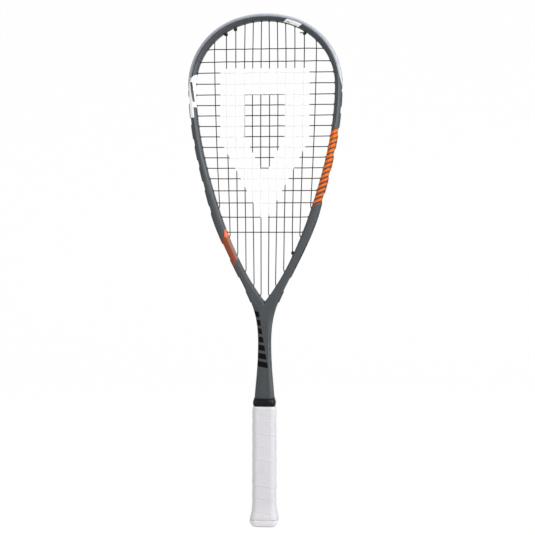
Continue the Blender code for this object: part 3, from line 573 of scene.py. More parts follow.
def paint_crown(finish, right, across, along):
    """White panel right of the crown with a thin slate rule."""
    start, start_lean = 27.0, 8.0       # length from the crown, gain across
    end, end_lean = 51.0, 4.0
    lowest, inner_margin = 600.0, 0.03
    rule_place, rule_half = 0.20, 0.05
    rule_start, rule_end = 32.0, 36.5
    panel = (right & (along - across * start_lean > start)
             & (along - across * end_lean < end) & (finish.z > lowest))
    rule = (abs(across - rule_place) < rule_half) & (along > rule_start) & (along < rule_end)
    finish.tint(panel & (across > inner_margin) & ~rule, WHITE)


def paint_shaft(finish):
    """Row of black slanted bars on each face, shorter toward the throat.

    Returns the masks of the row and of the bars in it.
    """
    z = finish.z
    start, pitch, bars, slope = 211.0, 10.9, 7.0, 0.18
    reach, reach_gain = 5.6, -0.170     # end of the bars at the start, change per mm
    bar_half = 0.34                     # share of the pitch
    crease_x = 5.1
    facing = (finish.y < 0.0) * 2.0 - 1.0
    side = finish.x * facing
    row = (z + side * slope - start) / pitch
    limit = (z - start) * reach_gain + reach
    inside = (row > 0.0) & (row < bars) & (side < limit)
    bar = abs(row.fract() - 0.5) < bar_half
    finish.tint(inside & bar, INK)
    # the flat of the shaft ends in a crease, darkened along it as painted shade
    crease_shade = (~abs(side - crease_x).ramp(start=0.2, end=1.1)
              & ~z.ramp(start=250.0, end=272.0))
    finish.shade(crease_shade, at0=1.0, at1=0.72)
    return inside, bar


def frame_paint():
    f = Finish("frame_paint", rough=0.34, rgb=SLATE)
    # across runs from 0 at the inner wall to 1 at the outer wall, along is
    # the outer length from the crown
    across, along = f.attribute("across"), f.attribute("along")
    right, left = f.x > 0.0, f.x < 0.0
    # fine metallic fleck and a slow cloud in the lacquer
    f.shade(f.cells(scale=5200.0), at0=1.14, at1=0.86)
    f.shade(f.noise(scale=38.0, detail=3.0), at0=0.93, at1=1.07)
    # the colour is darker below the throat, on the shaft
    f.shade(f.z.ramp(start=262.0, end=318.0), at0=0.89, at1=1.03)
    band = paint_band(f, right)
    block = paint_block(f, left, across)
    paint_shoulder(f, left, across)
    paint_crown(f, right, across, along)
    inside, bar = paint_shaft(f)
    # printed marks are matt, the rest has a thin clear coat
    matt = (inside & bar) | band | block
    coat, coat_gain, shine, shine_gain = 0.02, 0.14, 0.08, 0.36
    f.set("Specular IOR Level", ~matt * shine_gain + shine)
    f.set("Coat Weight", ~matt * coat_gain + coat)
    f.set("Coat Roughness", 0.22)
    scuff = f.noise(scale=420.0, detail=4.0, rough=0.65, stretch=(1.0, 1.0, 0.25))
    f.set_rough(scuff, least=0.36, spread=0.16)
    f.bump(f.noise(scale=260.0, detail=3.0), depth=0.05)
    return f.done()


def guard_plastic():
    f = Finish("silver_guard_nylon", rough=0.48, rgb=(0.44, 0.46, 0.52))
    barrel_part = f.attribute("barrel")
    f.shade(f.cells(scale=4200.0), at0=1.10, at1=0.90)
    worn = f.noise(scale=150.0, detail=5.0, rough=0.7)
    f.shade(worn.ramp(start=0.35, end=0.75), at0=1.04, at1=0.92)
    # painted shade: the silver is darkened toward the edge that lies on the beam
    f.shade(f.attribute("edge"), at0=1.0, at1=0.45)
    # the barrels are tinted near black: painted shade on the sleeves that reach into the head
    f.tint(barrel_part, (0.030, 0.032, 0.034))
    f.set_rough(worn, least=0.40, spread=0.20)
    silver_metallic = 0.35
    f.set("Metallic", ~barrel_part * silver_metallic)
    f.bump(f.noise(scale=900.0, detail=3.0), depth=0.03)
    scratch = f.noise(scale=520.0, detail=2.0, rough=0.6, stretch=(1.0, 0.12, 1.0))
    f.bump(scratch.ramp(start=0.60, end=0.66), depth=-0.02)
    return f.done()


def strip_plastic():
    f = Finish("charcoal_strip_nylon", rough=0.48, rgb=(0.072, 0.080, 0.084))
    f.shade(f.noise(scale=120.0, detail=4.0), at0=0.85, at1=1.15)
    # the right strip takes the beam's striped band
    share_gain = 0.00196                # orange share gained per mm of height
    band, phase = striped_band(f, f.x > 0.0)
    band = band & ~f.attribute("barrel")
    bars = phase > (f.z - STRIPE_Z) * share_gain + STRIPE_SHARE
    f.tint(band, (0.52, 0.115, 0.016))
    f.tint(band & bars, (0.060, 0.050, 0.046))
    f.set_rough(f.noise(scale=300.0, detail=3.0), least=0.36, spread=0.2)
    f.bump(f.noise(scale=1400.0, detail=2.0), depth=0.025)
    return f.done()


# ----------------------------------------------------------- string materials
STENCIL_X, STENCIL_Z = -0.6, 516.0      # centre of the stencil
# Five-sided outlines about that centre: half width, top, where the sides
# begin to taper, point
STENCIL_OUTER = (60.0, 97.0, 2.0, -112.0)
STENCIL_INNER = (27.0, 62.0, 6.0, -48.0)


def add_lay(finish, pitch, hollow_shade):
    """Fine twist of the filaments, with painted shade in its hollows and painted light on its
    crests.
    """
    run, turn = finish.attribute("run"), finish.attribute("turn")
    starts = 3.0
    lay = abs((run / pitch + turn * starts).fract() - 0.5)
    # painted shade in the hollows of the twist, painted light on its crests
    finish.shade(lay, at0=hollow_shade, at1=1.5)
    finish.bump(lay, depth=0.05)


def shield(x, z, outline):
    """Measure that is 1 on a five-sided outline and grows outward."""
    half_x, top, bend, point = outline
    side = abs(x) / half_x
    taper = (abs(x) * ((bend - point) / half_x) + z * -1.0 + bend) / (bend - point)
    return side | z / top | taper


def string_finish(name):
    """Dark multifilament with a white five-sided ring sprayed on, point down."""
    f = Finish(name, rough=0.42, rgb=(0.014, 0.014, 0.015))
    add_lay(f, pitch=2.6, hollow_shade=0.75)
    x, z = f.x + -STENCIL_X, f.z - STENCIL_Z
    ragged, limit = 0.03, 1.015
    edge = f.noise(scale=900.0, detail=2.0) * ragged
    mask = ((shield(x, z, STENCIL_OUTER) + edge < limit)
            & (shield(x, z, STENCIL_INNER) + edge > limit))
    f.tint(mask, (0.86, 0.86, 0.88))
    f.set_rough(mask, least=0.46, spread=0.16)
    f.set("Specular IOR Level", 0.3)
    return f.done()


def knot_finish():
    f = Finish("knot_string", rough=0.45, rgb=(0.012, 0.012, 0.013))
    add_lay(f, pitch=2.2, hollow_shade=0.7)
    return f.done()


# ----------------------------------------------------------- handle materials
def grip_finish():
    f = Finish("white_grip_tape", rough=0.62, rgb=(0.642, 0.625, 0.655))
    # wrap runs from 0 to 1 over the width of a turn, girth is mm round it
    wrap, girth = f.attribute("wrap"), f.attribute("girth")
    f.shade(f.noise(scale=55.0, detail=4.0), at0=0.965, at1=1.03)
    # rows of pin holes, clear of the edges of the tape
    pin_step, row_step, tape_width = 3.2, 2.9, 17.4
    pin_shade_strength = 0.55
    off_pin = abs((girth / pin_step).fract() - 0.5) * pin_step
    off_row = abs((wrap * tape_width / row_step).fract() - 0.5) * row_step
    radius = (off_pin * off_pin + off_row * off_row) ** 0.5
    zone = (wrap > 0.12) & (wrap < 0.90)
    pin = ~radius.ramp(start=0.22, end=0.42) & zone
    # the holes are greyed: painted shade inside them
    f.tint(pin * pin_shade_strength, (0.42, 0.41, 0.43))
    f.bump(pin, depth=-0.18)
    # embossed hide grain
    f.bump(f.cells(scale=1500.0, feature='SMOOTH_F1'), depth=0.10)
    f.bump(f.noise(scale=220.0, detail=4.0, rough=0.6), depth=0.12)
    # a painted highlight along the edge of each turn, and painted shade just under the turn
    # that laps it
    f.shade(wrap.ramp(start=0.0, end=0.07), at0=1.14, at1=1.0)
    f.shade(wrap.ramp(start=0.93, end=1.0), at0=1.0, at1=0.95)
    f.set_rough(f.noise(scale=300.0, detail=3.0), least=0.52, spread=0.18)
    f.set("Sheen Weight", 0.25)
    f.set("Sheen Roughness", 0.5)
    return f.done()


def cap_finish():
    f = Finish("butt_cap_plastic", rough=0.5, rgb=(0.870, 0.850, 0.880))
    # lighter toward the floor and darker on the upward top rim: painted light and painted
    # shade
    f.shade(f.z.ramp(start=3.5, end=8.0), at0=1.06, at1=0.84)
    f.shade(f.noise(scale=70.0, detail=4.0), at0=0.96, at1=1.03)
    f.bump(f.noise(scale=700.0, detail=3.0), depth=0.05)
    f.bump(f.cells(scale=1400.0, feature='SMOOTH_F1'), depth=0.08)
    f.set_rough(f.noise(scale=200.0, detail=3.0), least=0.45, spread=0.2)
    return f.done()


def rubber_finish():
    f = Finish("collar_rubber", rough=0.2, rgb=(0.0028, 0.0024, 0.0042))
    f.set("Specular IOR Level", 0.24)
    f.shade(f.noise(scale=90.0, detail=3.0), at0=0.8, at1=1.3)
    dust = f.noise(scale=260.0, detail=5.0, rough=0.7).ramp(start=0.55, end=0.8)
    dust_strength = 0.05
    f.tint(dust * dust_strength, (0.10, 0.10, 0.10))
    f.set_rough(f.noise(scale=160.0, detail=3.0), least=0.055, spread=0.08)
    f.bump(f.noise(scale=60.0, detail=2.0), depth=0.12)
    return f.done()


def plain_finish(name, rgb, rough, grain, depth, metal=0.0):
    """One colour with blotches, uneven gloss and relief at three grain sizes."""
    f = Finish(name, rough, rgb)
    f.set("Metallic", metal)
    f.shade(f.noise(scale=grain * 0.3, detail=4.0), at0=0.85, at1=1.12)
    f.set_rough(f.noise(scale=grain, detail=3.0), least=rough - 0.1, spread=0.2)
    f.bump(f.noise(scale=grain * 3.0, detail=3.0), depth)
    return f.done()


PAINT = frame_paint()
GUARD_MAT = guard_plastic()
STRIP_MAT = strip_plastic()
MAIN_MAT = string_finish("main_string_coating")
CROSS_MAT = string_finish("cross_string_coating")
KNOT_MAT = knot_finish()
GRIP_MAT = grip_finish()
CAP_MAT = cap_finish()
RUBBER_MAT = rubber_finish()


# -------------------------------------------------------------------- frame
def half_side(start, toward, steps):
    """Points from start to halfway toward the next corner."""
    start, toward = np.array(start), np.array(toward)
    return [tuple(start + (toward - start) * 0.5 * s / steps) for s in range(steps + 1)]


def build_frame():
    """Right half of the hollow-sided beam, mirrored to the left."""
    verts, across, along = [], [], []
    steps = 4
    run = 0.0
    for k, row in enumerate(ROWS):
        outer, inner = row.outer, row.inner
        if k:
            run += dist(ROWS[k - 1].outer, outer)
        width = dist(outer, inner)
        half, radii = beam_section(width, row)
        ring, radii = mirrored(half), radii + radii[::-1]
        if k <= CROTCH:
            dense = soften(ring, radii, steps, closed=True)
        else:
            # open at the mirror plane, where the end corners spread out
            dense = (half_side(ring[0], ring[1], steps) + soften(ring, radii, steps)[1:-1]
                     + half_side(ring[-1], ring[-2], steps)[::-1])
        for u, y in dense:
            f = u / width
            x = inner[0] + f * (outer[0] - inner[0])
            if k == 0 or (k >= CROTCH and u < 1e-7):
                x = 0.0
            verts.append((x, y, inner[1] + f * (outer[1] - inner[1])))
            across.append(f)
            along.append(run)
    count = len(dense)
    # the inner wall ends at the crotch
    faces = grid_faces(len(ROWS), count, skip=lambda r, c: c == count - 1 and r >= CROTCH)
    faces.append(end_faces(len(ROWS), count)[1])
    ob = make("frame_shell", verts, faces, PAINT,
              {"across": across, "along": along})
    mirror = ob.modifiers.new("mirror", 'MIRROR')
    mirror.use_clip = True
    mirror.merge_threshold = 0.00002
    add_weighted_normals(ob).keep_sharp = False
    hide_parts("frame")


build_frame()


# ------------------------------------------------------ outline and the holes
def full_outline(which):
    """Outline from the left throat over the crown to the right throat."""
    right = [row[which] for row in ROWS[:CROTCH + 3]]
    return [(-x, z) for x, z in reversed(right[1:])] + right


def unit(x, z):
    size = math.hypot(x, z)
    return (x / size, z / size)


OUTER, INNER = full_outline(0), full_outline(1)
MIDDLE = len(OUTER) // 2
OUTER_RUN = run_lengths(OUTER)
OUTER_NORMALS = []
for _k in range(len(OUTER)):
    _behind, _ahead = OUTER[max(0, _k - 1)], OUTER[min(len(OUTER) - 1, _k + 1)]
    OUTER_NORMALS.append(unit(_behind[1] - _ahead[1], _ahead[0] - _behind[0]))


def locate(run):
    """Length kept within the outer outline, and the index of its segment."""
    run = min(max(run, 0.0), OUTER_RUN[-1] - 1e-6)
    i = int(np.searchsorted(OUTER_RUN, run, side='right')) - 1
    return run, min(max(i, 0), len(OUTER) - 2)


def at_run(run, up=0.0):
    """Point of the outer outline at a length along it, raised outward."""
    run, i = locate(run)
    f = (run - OUTER_RUN[i]) / (OUTER_RUN[i + 1] - OUTER_RUN[i])
    (x, z), (normal_x, normal_z) = [
        (line[i][0] + f * (line[i + 1][0] - line[i][0]),
         line[i][1] + f * (line[i + 1][1] - line[i][1]))
        for line in (OUTER, OUTER_NORMALS)]
    return (x + normal_x * up, z + normal_z * up)


def beam_width(run):
    i = locate(run)[1]
    return dist(OUTER[i], INNER[i])


def run_at_z(z, side):
    """Length along the outer outline at a height on one side."""
    for k in range(MIDDLE, len(OUTER) - 1) if side > 0 else range(0, MIDDLE):
        a, b = OUTER[k][1], OUTER[k + 1][1]
        if min(a, b) <= z <= max(a, b) and a != b:
            return OUTER_RUN[k] + (z - a) / (b - a) * (OUTER_RUN[k + 1] - OUTER_RUN[k])


def hit(start, heading, points):
    """First crossing of a ray with a line.

    Gives the segment, the point, the distance and the share of the segment.
    """
    best = None
    for k, (x, z) in enumerate(points[:-1]):
        edge_x, edge_z = points[k + 1][0] - x, points[k + 1][1] - z
        cross = heading[0] * edge_z - heading[1] * edge_x
        if abs(cross) < 1e-12:
            continue
        t = ((x - start[0]) * edge_z - (z - start[1]) * edge_x) / cross
        f = ((x - start[0]) * heading[1] - (z - start[1]) * heading[0]) / cross
        if t > 1e-6 and -1e-9 <= f <= 1 + 1e-9 and (best is None or t < best[2]):
            best = (k, (start[0] + t * heading[0], start[1] + t * heading[1]), t, f)
    return best


def fan(k, z):
    """Distance of a main from the middle line at a height."""
    (a, b, c), (x_a, x_b, x_c) = FAN_Z, FAN_X[k]
    return (x_a * (z - b) * (z - c) / ((a - b) * (a - c))
            + x_b * (z - a) * (z - c) / ((b - a) * (b - c))
            + x_c * (z - a) * (z - b) / ((c - a) * (c - b)))


def make_hole(start, heading, tilt=None):
    """Hole through the beam where a string from start meets the inner wall.

    It leans halfway between the string and the wall's normal, unless a tilt
    below the horizontal is given.
    """
    k, inner, _, _ = hit(start, heading, INNER)
    if tilt is None:
        normal = unit(INNER[k][1] - INNER[k + 1][1], INNER[k + 1][0] - INNER[k][0])
        through = unit(normal[0] + heading[0], normal[1] + heading[1])
    else:
        side = 1.0 if start[0] > 0 else -1.0
        through = (side * math.cos(math.radians(tilt)), -math.sin(math.radians(tilt)))
    # the search starts 1 mm beyond the inner wall
    j, _, length, f = hit((inner[0] + through[0], inner[1] + through[1]), through, OUTER)
    return SimpleNamespace(
        inner=inner, heading=through, length=length + 1.0,
        run=OUTER_RUN[j] + f * (OUTER_RUN[j + 1] - OUTER_RUN[j]),
        tie=False, lead=LEAD if tilt is None else THROAT_LEAD)


CROSS_Z = [CROSS_TOP_Z]
for _pitch in CROSS_PITCHES:
    CROSS_Z.append(CROSS_Z[-1] - _pitch)
# Mains from left to right: side, number from the middle
MAINS = [(-1.0, 5 - k) for k in range(6)] + [(1.0, k) for k in range(6)]
MAIN_TOP, MAIN_LOW = [], []
for _side, _k in MAINS:
    _lean = unit(_side * (fan(_k, 650.0) - fan(_k, 640.0)), 10.0)
    MAIN_TOP.append(make_hole((_side * fan(_k, 630.0), 630.0), _lean))
    _reach = THROAT_LEAD * math.cos(math.radians(THROAT_TILT[_k]))
    MAIN_LOW.append(make_hole((_side * (MAIN_LOW_X[_k] + _reach), 450.0),
                              (0.0, -1.0), THROAT_TILT[_k]))
CROSS_RIGHT = [make_hole((0.0, z), (1.0, 0.0)) for z in CROSS_Z]
CROSS_LEFT = [make_hole((0.0, z), (-1.0, 0.0)) for z in CROSS_Z]
for _hole in (MAIN_TOP[1], MAIN_TOP[2], MAIN_TOP[10], MAIN_LOW[9]):
    _hole.tie = True
    _hole.lead = TIE_LEAD
ALL_HOLES = MAIN_TOP + MAIN_LOW + CROSS_LEFT + CROSS_RIGHT


def along_hole(hole, distance):
    """Point on a hole's axis, measured outward from the inner wall."""
    return (hole.inner[0] + hole.heading[0] * distance,
            hole.inner[1] + hole.heading[1] * distance)


def slope_of(hole):
    """How squarely a hole meets the outer wall, 1 being square."""
    foot, raised = at_run(hole.run, 0.0), at_run(hole.run, 1.0)
    return abs(hole.heading[0] * (raised[0] - foot[0])
               + hole.heading[1] * (raised[1] - foot[1]))


# --------------------------------------------------------- strips and barrels
# Barrels: outer radius, bore radius, place of the tip along the hole
BARREL = (1.62, 0.98, -0.9)
TIE_BARREL = (2.45, 1.85, -0.3)


def add_barrel(hole, verts, faces):
    """Turned sleeve from the strip through the beam, lipped inside the head."""
    radius, bore, tip = TIE_BARREL if hole.tie else BARREL
    foot = hole.length - 0.75 / slope_of(hole)
    # place along the hole, radius
    profile = [(foot, radius), (1.0, radius), (0.1, radius), (-0.1, radius - 0.05),
               (tip + 0.15, radius - 0.10), (tip + 0.04, radius - 0.14),
               (tip, radius - 0.24), (tip, bore + 0.16), (tip + 0.25, bore), (foot, bore)]
    base, sides = len(verts), 20
    for distance, r in profile:
        centre = along_hole(hole, distance)
        for k in range(sides):
            angle = math.tau * k / sides
            u, y = r * math.cos(angle), r * math.sin(angle)
            verts.append((centre[0] - hole.heading[1] * u, y, centre[1] + hole.heading[0] * u))
    faces += grid_faces(len(profile), sides, base, close_rows=True)


def strip_piece(name, start, end, profile_at, mat, node, step):
    """Moulded strip swept round the outline, with its barrels."""
    verts, edge = [], []
    count = max(2, int(round((end - start) / step)))
    for k in range(count + 1):
        run = start + (end - start) * k / count
        ring = profile_at(run)
        for up, y in ring:
            x, z = at_run(run, up)
            verts.append((x, y, z))
            # 1 on the part that lies deepest on the beam, where the guard gets its painted
            # shade
            edge.append(smoothstep(-1.6, -2.8, up) if up < 0.0 else 0.0)
    faces = grid_faces(count + 1, len(ring)) + end_faces(count + 1, len(ring))
    body_count = len(verts)
    for hole in ALL_HOLES:
        if start + 0.2 < hole.run < end - 0.2:
            add_barrel(hole, verts, faces)
    rest = len(verts) - body_count
    ob = make(name, verts, faces, mat,
              {"barrel": [0.0] * body_count + [1.0] * rest, "edge": edge + [0.0] * rest})
    add_weighted_normals(ob)
    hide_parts(node)


# Runs of the two holes that each outside loop joins
LOOPS = []
for _k in range(11):
    _row = MAIN_LOW if _k % 2 == 0 else MAIN_TOP
    LOOPS.append((_row[_k].run, _row[_k + 1].run))
for _k in range(16):
    _row = CROSS_RIGHT if _k % 2 == 0 else CROSS_LEFT
    LOOPS.append((_row[_k].run, _row[_k + 1].run))


def saddle(run):
    """Share of the full height of the strip's string saddle at a place."""
    best = 0.0
    for a, b in LOOPS:
        low, high = min(a, b) - 2.0, max(a, b) + 2.0
        best = max(best, smoothstep(low - 2.2, low + 0.8, run)
                   * (1.0 - smoothstep(high - 0.8, high + 2.2, run)))
    return best


def strip_profile(run):
    """Ring of (height over the outer outline, y): two rails beside a channel."""
    lift = saddle(run)
    rail = 0.02 + 1.25 * lift
    half = [(-1.15, 0.0), (-1.15, 3.65), (0.05, 3.72), (0.05 + 0.10 * lift, 4.35),
            (rail, 4.2 - 0.25 * lift), (rail, 3.05), (-0.38, 2.55), (-0.38, 0.0)]
    return soften(mirrored(half, on_plane=True), 0.22, 2, closed=True)


def guard_profile(run):
    """Hat-shaped ring of (height, y) that wraps over the outer slope of the beam."""
    from_end = min(run - GUARD_START, GUARD_STOP - run)
    wrap = smoothstep(-1.0, 26.0, from_end)
    top = 0.75 + 0.65 * smoothstep(0.0, 9.0, from_end)
    reach = 3.6             # how far the wings run down over the beam
    rise = ((1.0 - SHOULDER_HIGH) * HOOP_DEPTH
            / (CREST_SHARE * beam_width(run) - SHOULDER_IN))
    wing_y = min(SHOULDER_HIGH * HOOP_DEPTH + rise * (reach - SHOULDER_IN), HOOP_DEPTH) + 0.12
    wing_in = (0.28 + (-reach - 0.28) * wrap, 5.1 + (wing_y - 5.1) * wrap)
    wing_out = (0.62 + (0.22 - reach - 0.62) * wrap, 5.6 + (wing_y + 0.5 - 5.6) * wrap)
    half = [(-1.15, 0.0), (-1.15, 3.65), (0.22, 3.72), (0.22, 5.0),
            (0.22 - 0.75 * wrap, 5.06 + 1.2 * wrap), wing_in, wing_out,
            (0.72 - 0.30 * wrap, 5.7 + 1.25 * wrap), (top - 0.1, 5.35),
            (top, 4.6), (top, 3.3), (top - 0.25, 3.0), (-0.38, 2.85), (-0.38, 0.0)]
    return soften(mirrored(half, on_plane=True), 0.30, 2, closed=True)


GUARD_START, GUARD_STOP = run_at_z(GUARD_END_Z, -1), run_at_z(GUARD_END_Z, 1)
SIDE_START, SIDE_STOP = run_at_z(SIDE_END_Z, -1), run_at_z(SIDE_END_Z, 1)
THROAT_START, THROAT_STOP = run_at_z(THROAT_END_Z, -1), run_at_z(THROAT_END_Z, 1)
SEAM = 0.3
strip_piece("bumper_guard", GUARD_START, GUARD_STOP, guard_profile, GUARD_MAT,
            "head_bumper_guard", step=1.5)
# name, node, start and end along the outline
for _name, _node, _start, _end in (
        ("side_strip_left", "side_grommet_strip_left", SIDE_START, GUARD_START - SEAM),
        ("side_strip_right", "side_grommet_strip_right", GUARD_STOP + SEAM, SIDE_STOP),
        ("throat_strip_left", "throat_grommet_strip_left", THROAT_START, SIDE_START - SEAM),
        ("throat_strip_right", "throat_grommet_strip_right", SIDE_STOP + SEAM, THROAT_STOP)):
    strip_piece(_name, _start, _end, strip_profile, STRIP_MAT, _node,
                step=1.0)


# ------------------------------------------------------------------- strings
# A string run is a list of ((x, y, z), corner radius).
def main_line(k, z):
    """x of a main at a height; below the fan it runs straight to its hole."""
    side, j = MAINS[k]
    low = FAN_Z[2]
    if z >= low or j == 5:
        return side * fan(j, z)
    end = MAIN_LOW[k].inner[1]
    f = min(1.0, (low - z) / (low - end))
    return side * (fan(j, low) + f * (MAIN_LOW_X[j] - fan(j, low)))


def crossing_rows(k):
    """Cross strings that main k passes."""
    high, low = along_hole(MAIN_TOP[k], -5.0)[1], along_hole(MAIN_LOW[k], -5.0)[1]
    margin = 1.6
    return [c for c, z in enumerate(CROSS_Z)
            if high > z > low and (CROSS_LEFT[c].inner[0] + margin < main_line(k, z)
                                   < CROSS_RIGHT[c].inner[0] - margin)]


MET = [crossing_rows(k) for k in range(12)]


def over(k, c):
    """1 where main k passes in front of cross c, else -1."""
    return 1.0 if (k + c) % 2 else -1.0


def leave(hole, y):
    """Strand from inside the head out through a hole."""
    a = along_hole(hole, -hole.lead)
    b = along_hole(hole, hole.length + 0.15 / slope_of(hole))
    return [((a[0], y, a[1]), 1.6), ((b[0], y, b[1]), 0.9)]


def enter(hole, y):
    return leave(hole, y)[::-1]


def round_loop(hole_a, hole_b, lane):
    """Strand round the outside of the head from one hole to another."""
    sign = 1.0 if hole_b.run > hole_a.run else -1.0
    start, stop = hole_a.run + sign * 1.5, hole_b.run - sign * 1.5
    count = max(1, int(abs(stop - start) / 2.5))
    out = []
    for k in range(count + 1):
        x, z = at_run(start + (stop - start) * k / count, LOOP_UP)
        out.append(((x, lane, z), 0.9 if k in (0, count) else 1.0))
    return out


def strand_y(hole):
    return -TIE_STEP if hole.tie else 0.0


def sweep(name, run, mat, node):
    """String along a run, leaving out points closer than 0.05 mm."""
    points, radii = zip(*run)
    dense = soften(points, radii, 4)
    clean = [dense[0]]
    for p in dense[1:]:
        if sum((a - b) ** 2 for a, b in zip(p, clean[-1])) > 0.0025:
            clean.append(p)
    string_piece(name, clean, 10, mat, node)


def main_run():
    """Mains down and up from left to right, looped in front, tied at both ends."""
    run = leave(MAIN_TOP[1], TIE_STEP) + round_loop(MAIN_TOP[1], MAIN_TOP[0], -LANE)
    for k in range(12):
        up = k % 2 == 1
        first, last = (MAIN_LOW, MAIN_TOP) if up else (MAIN_TOP, MAIN_LOW)
        run += enter(first[k], strand_y(first[k]))
        for c in MET[k][::-1] if up else MET[k]:
            z = CROSS_Z[c]
            run.append(((main_line(k, z), -over(k, c) * MAIN_WAVE, z), 6.0))
        run += leave(last[k], strand_y(last[k]))
        if k < 11:
            run += round_loop(last[k], last[k + 1], -LANE)
    run += round_loop(MAIN_TOP[11], MAIN_TOP[10], -LANE)
    return run + enter(MAIN_TOP[10], TIE_STEP)


def cross_run():
    """Crosses right and left from the top down, looped at the back."""
    run = leave(MAIN_TOP[2], TIE_STEP) + round_loop(MAIN_TOP[2], CROSS_LEFT[0], START_LANE)
    for c, z in enumerate(CROSS_Z):
        rightward = c % 2 == 0
        first, last = (CROSS_LEFT, CROSS_RIGHT) if rightward else (CROSS_RIGHT, CROSS_LEFT)
        a, b = first[c], last[c]
        mains = [k for k in range(12) if c in MET[k]]
        # beside the beam the cross goes straight from the main into its hole
        close = abs(main_line(mains[0], z)) > abs(a.inner[0]) - 3.8
        if close:
            a.lead = b.lead = -0.5
        run += enter(a, 0.0)
        for k in mains if rightward else reversed(mains):
            away = 0.4 * close * ((k == mains[-1]) - (k == mains[0]))
            at_end = close and k in (mains[0], mains[-1])
            run.append(((main_line(k, z) + away, over(k, c) * CROSS_WAVE, z),
                        0.9 if at_end else 4.2))
        run += leave(b, 0.0)
        if c < len(CROSS_Z) - 1:
            run += round_loop(b, last[c + 1], LANE)
    run += round_loop(CROSS_RIGHT[-1], MAIN_LOW[9], LANE)
    return run + enter(MAIN_LOW[9], TIE_STEP)


sweep("mains", main_run(), MAIN_MAT, "main_string")
sweep("crosses", cross_run(), CROSS_MAT, "cross_string")


def tie_knot(name, node, hole, toward, spin, tail):
    """Wraps round the strand, drawn tight, with a cut tail."""
    start = along_hole(hole, -TIE_LEAD)
    heading = unit(toward[0] - start[0], toward[1] - start[1])
    axis = Vector((heading[0], 0.0, heading[1]))
    back = Vector((0.0, 1.0, 0.0))
    side = axis.cross(back)
    centre = Vector((start[0], -0.45, start[1]))

    def around(distance, radius, angle):
        return (centre + axis * distance + back * (radius * math.cos(angle))
                + side * (radius * math.sin(angle)))

    cut = along_hole(hole, -0.2)
    points = [Vector((cut[0], TIE_STEP, cut[1]))]
    turns, count, first_angle = 2.6, 42, 0.2
    for k in range(count + 1):
        t = k / count
        angle = spin * (math.tau * turns * t) + first_angle
        points.append(around(0.5 + 3.4 * t, 1.28 + 0.16 * math.sin(math.pi * t), angle))
    # the end passes back outside the wraps and out to the side
    for distance, radius, further in ((3.2, 2.25, 0.7), (1.9, 2.55, 1.0), (0.9, 2.2, 1.5)):
        points.append(around(distance, radius, angle + spin * further))
    tail = Vector(tail)
    points.append(points[-1] + tail * 0.5 - axis * 0.2)
    points.append(points[-1] + tail * 0.5)
    string_piece(name, soften([tuple(p) for p in points], 0.9, 3), 12, KNOT_MAT, node)


tie_knot("tie_main_left", "knot_main_left", MAIN_TOP[1], toward=MAIN_LOW[1].inner,
         spin=1.0, tail=(-2.2, -1.2, -1.6))
tie_knot("tie_main_right", "knot_main_right", MAIN_TOP[10], toward=MAIN_LOW[10].inner,
         spin=-1.0, tail=(-8.0, -1.5, -0.6))
tie_knot("tie_cross_start", "knot_cross_start", MAIN_TOP[2], toward=MAIN_LOW[2].inner,
         spin=1.0, tail=(2.4, -1.0, 1.0))
tie_knot("tie_cross_end", "knot_cross_end", MAIN_LOW[9], toward=MAIN_TOP[9].inner,
         spin=1.0, tail=(-3.0, -0.8, 0.6))


# -------------------------------------------------------------------- handle
def flare(z):
    """Widening of the handle toward the butt."""
    return 3.15 * (1.0 - smoothstep(8.0, 40.0, z)) ** 2.5


def ring_point(half_x, half_y, share, rounding=0.5):
    """Point and outward normal of the rounded handle section.

    The share of the way round starts at the front end of the right wall and
    runs by the back. rounding is the corner radius as a share of the half size.
    """
    corner = rounding * min(half_x, half_y)
    flat_x, flat_y = half_x - corner, half_y - corner
    arc = 0.5 * math.pi * corner
    s = (share % 1.0) * sum((2 * flat_y, arc, 2 * flat_x, arc) * 2)
    # wall start, wall heading, wall normal, centre of the corner after it
    walls = (((half_x, -flat_y), (0, 1), (1, 0), (flat_x, flat_y)),
             ((flat_x, half_y), (-1, 0), (0, 1), (-flat_x, flat_y)),
             ((-half_x, flat_y), (0, -1), (-1, 0), (-flat_x, -flat_y)),
             ((-flat_x, -half_y), (1, 0), (0, -1), (flat_x, -flat_y)))
    for k, (start, heading, normal, centre) in enumerate(walls):
        length = 2 * flat_x if k % 2 else 2 * flat_y
        if s <= length:
            return (start[0] + heading[0] * s, start[1] + heading[1] * s, *normal)
        s -= length
        if s <= arc:
            angle = math.radians(90.0 * k) + s / corner
            cos, sin = math.cos(angle), math.sin(angle)
            return centre[0] + corner * cos, centre[1] + corner * sin, cos, sin
        s -= arc


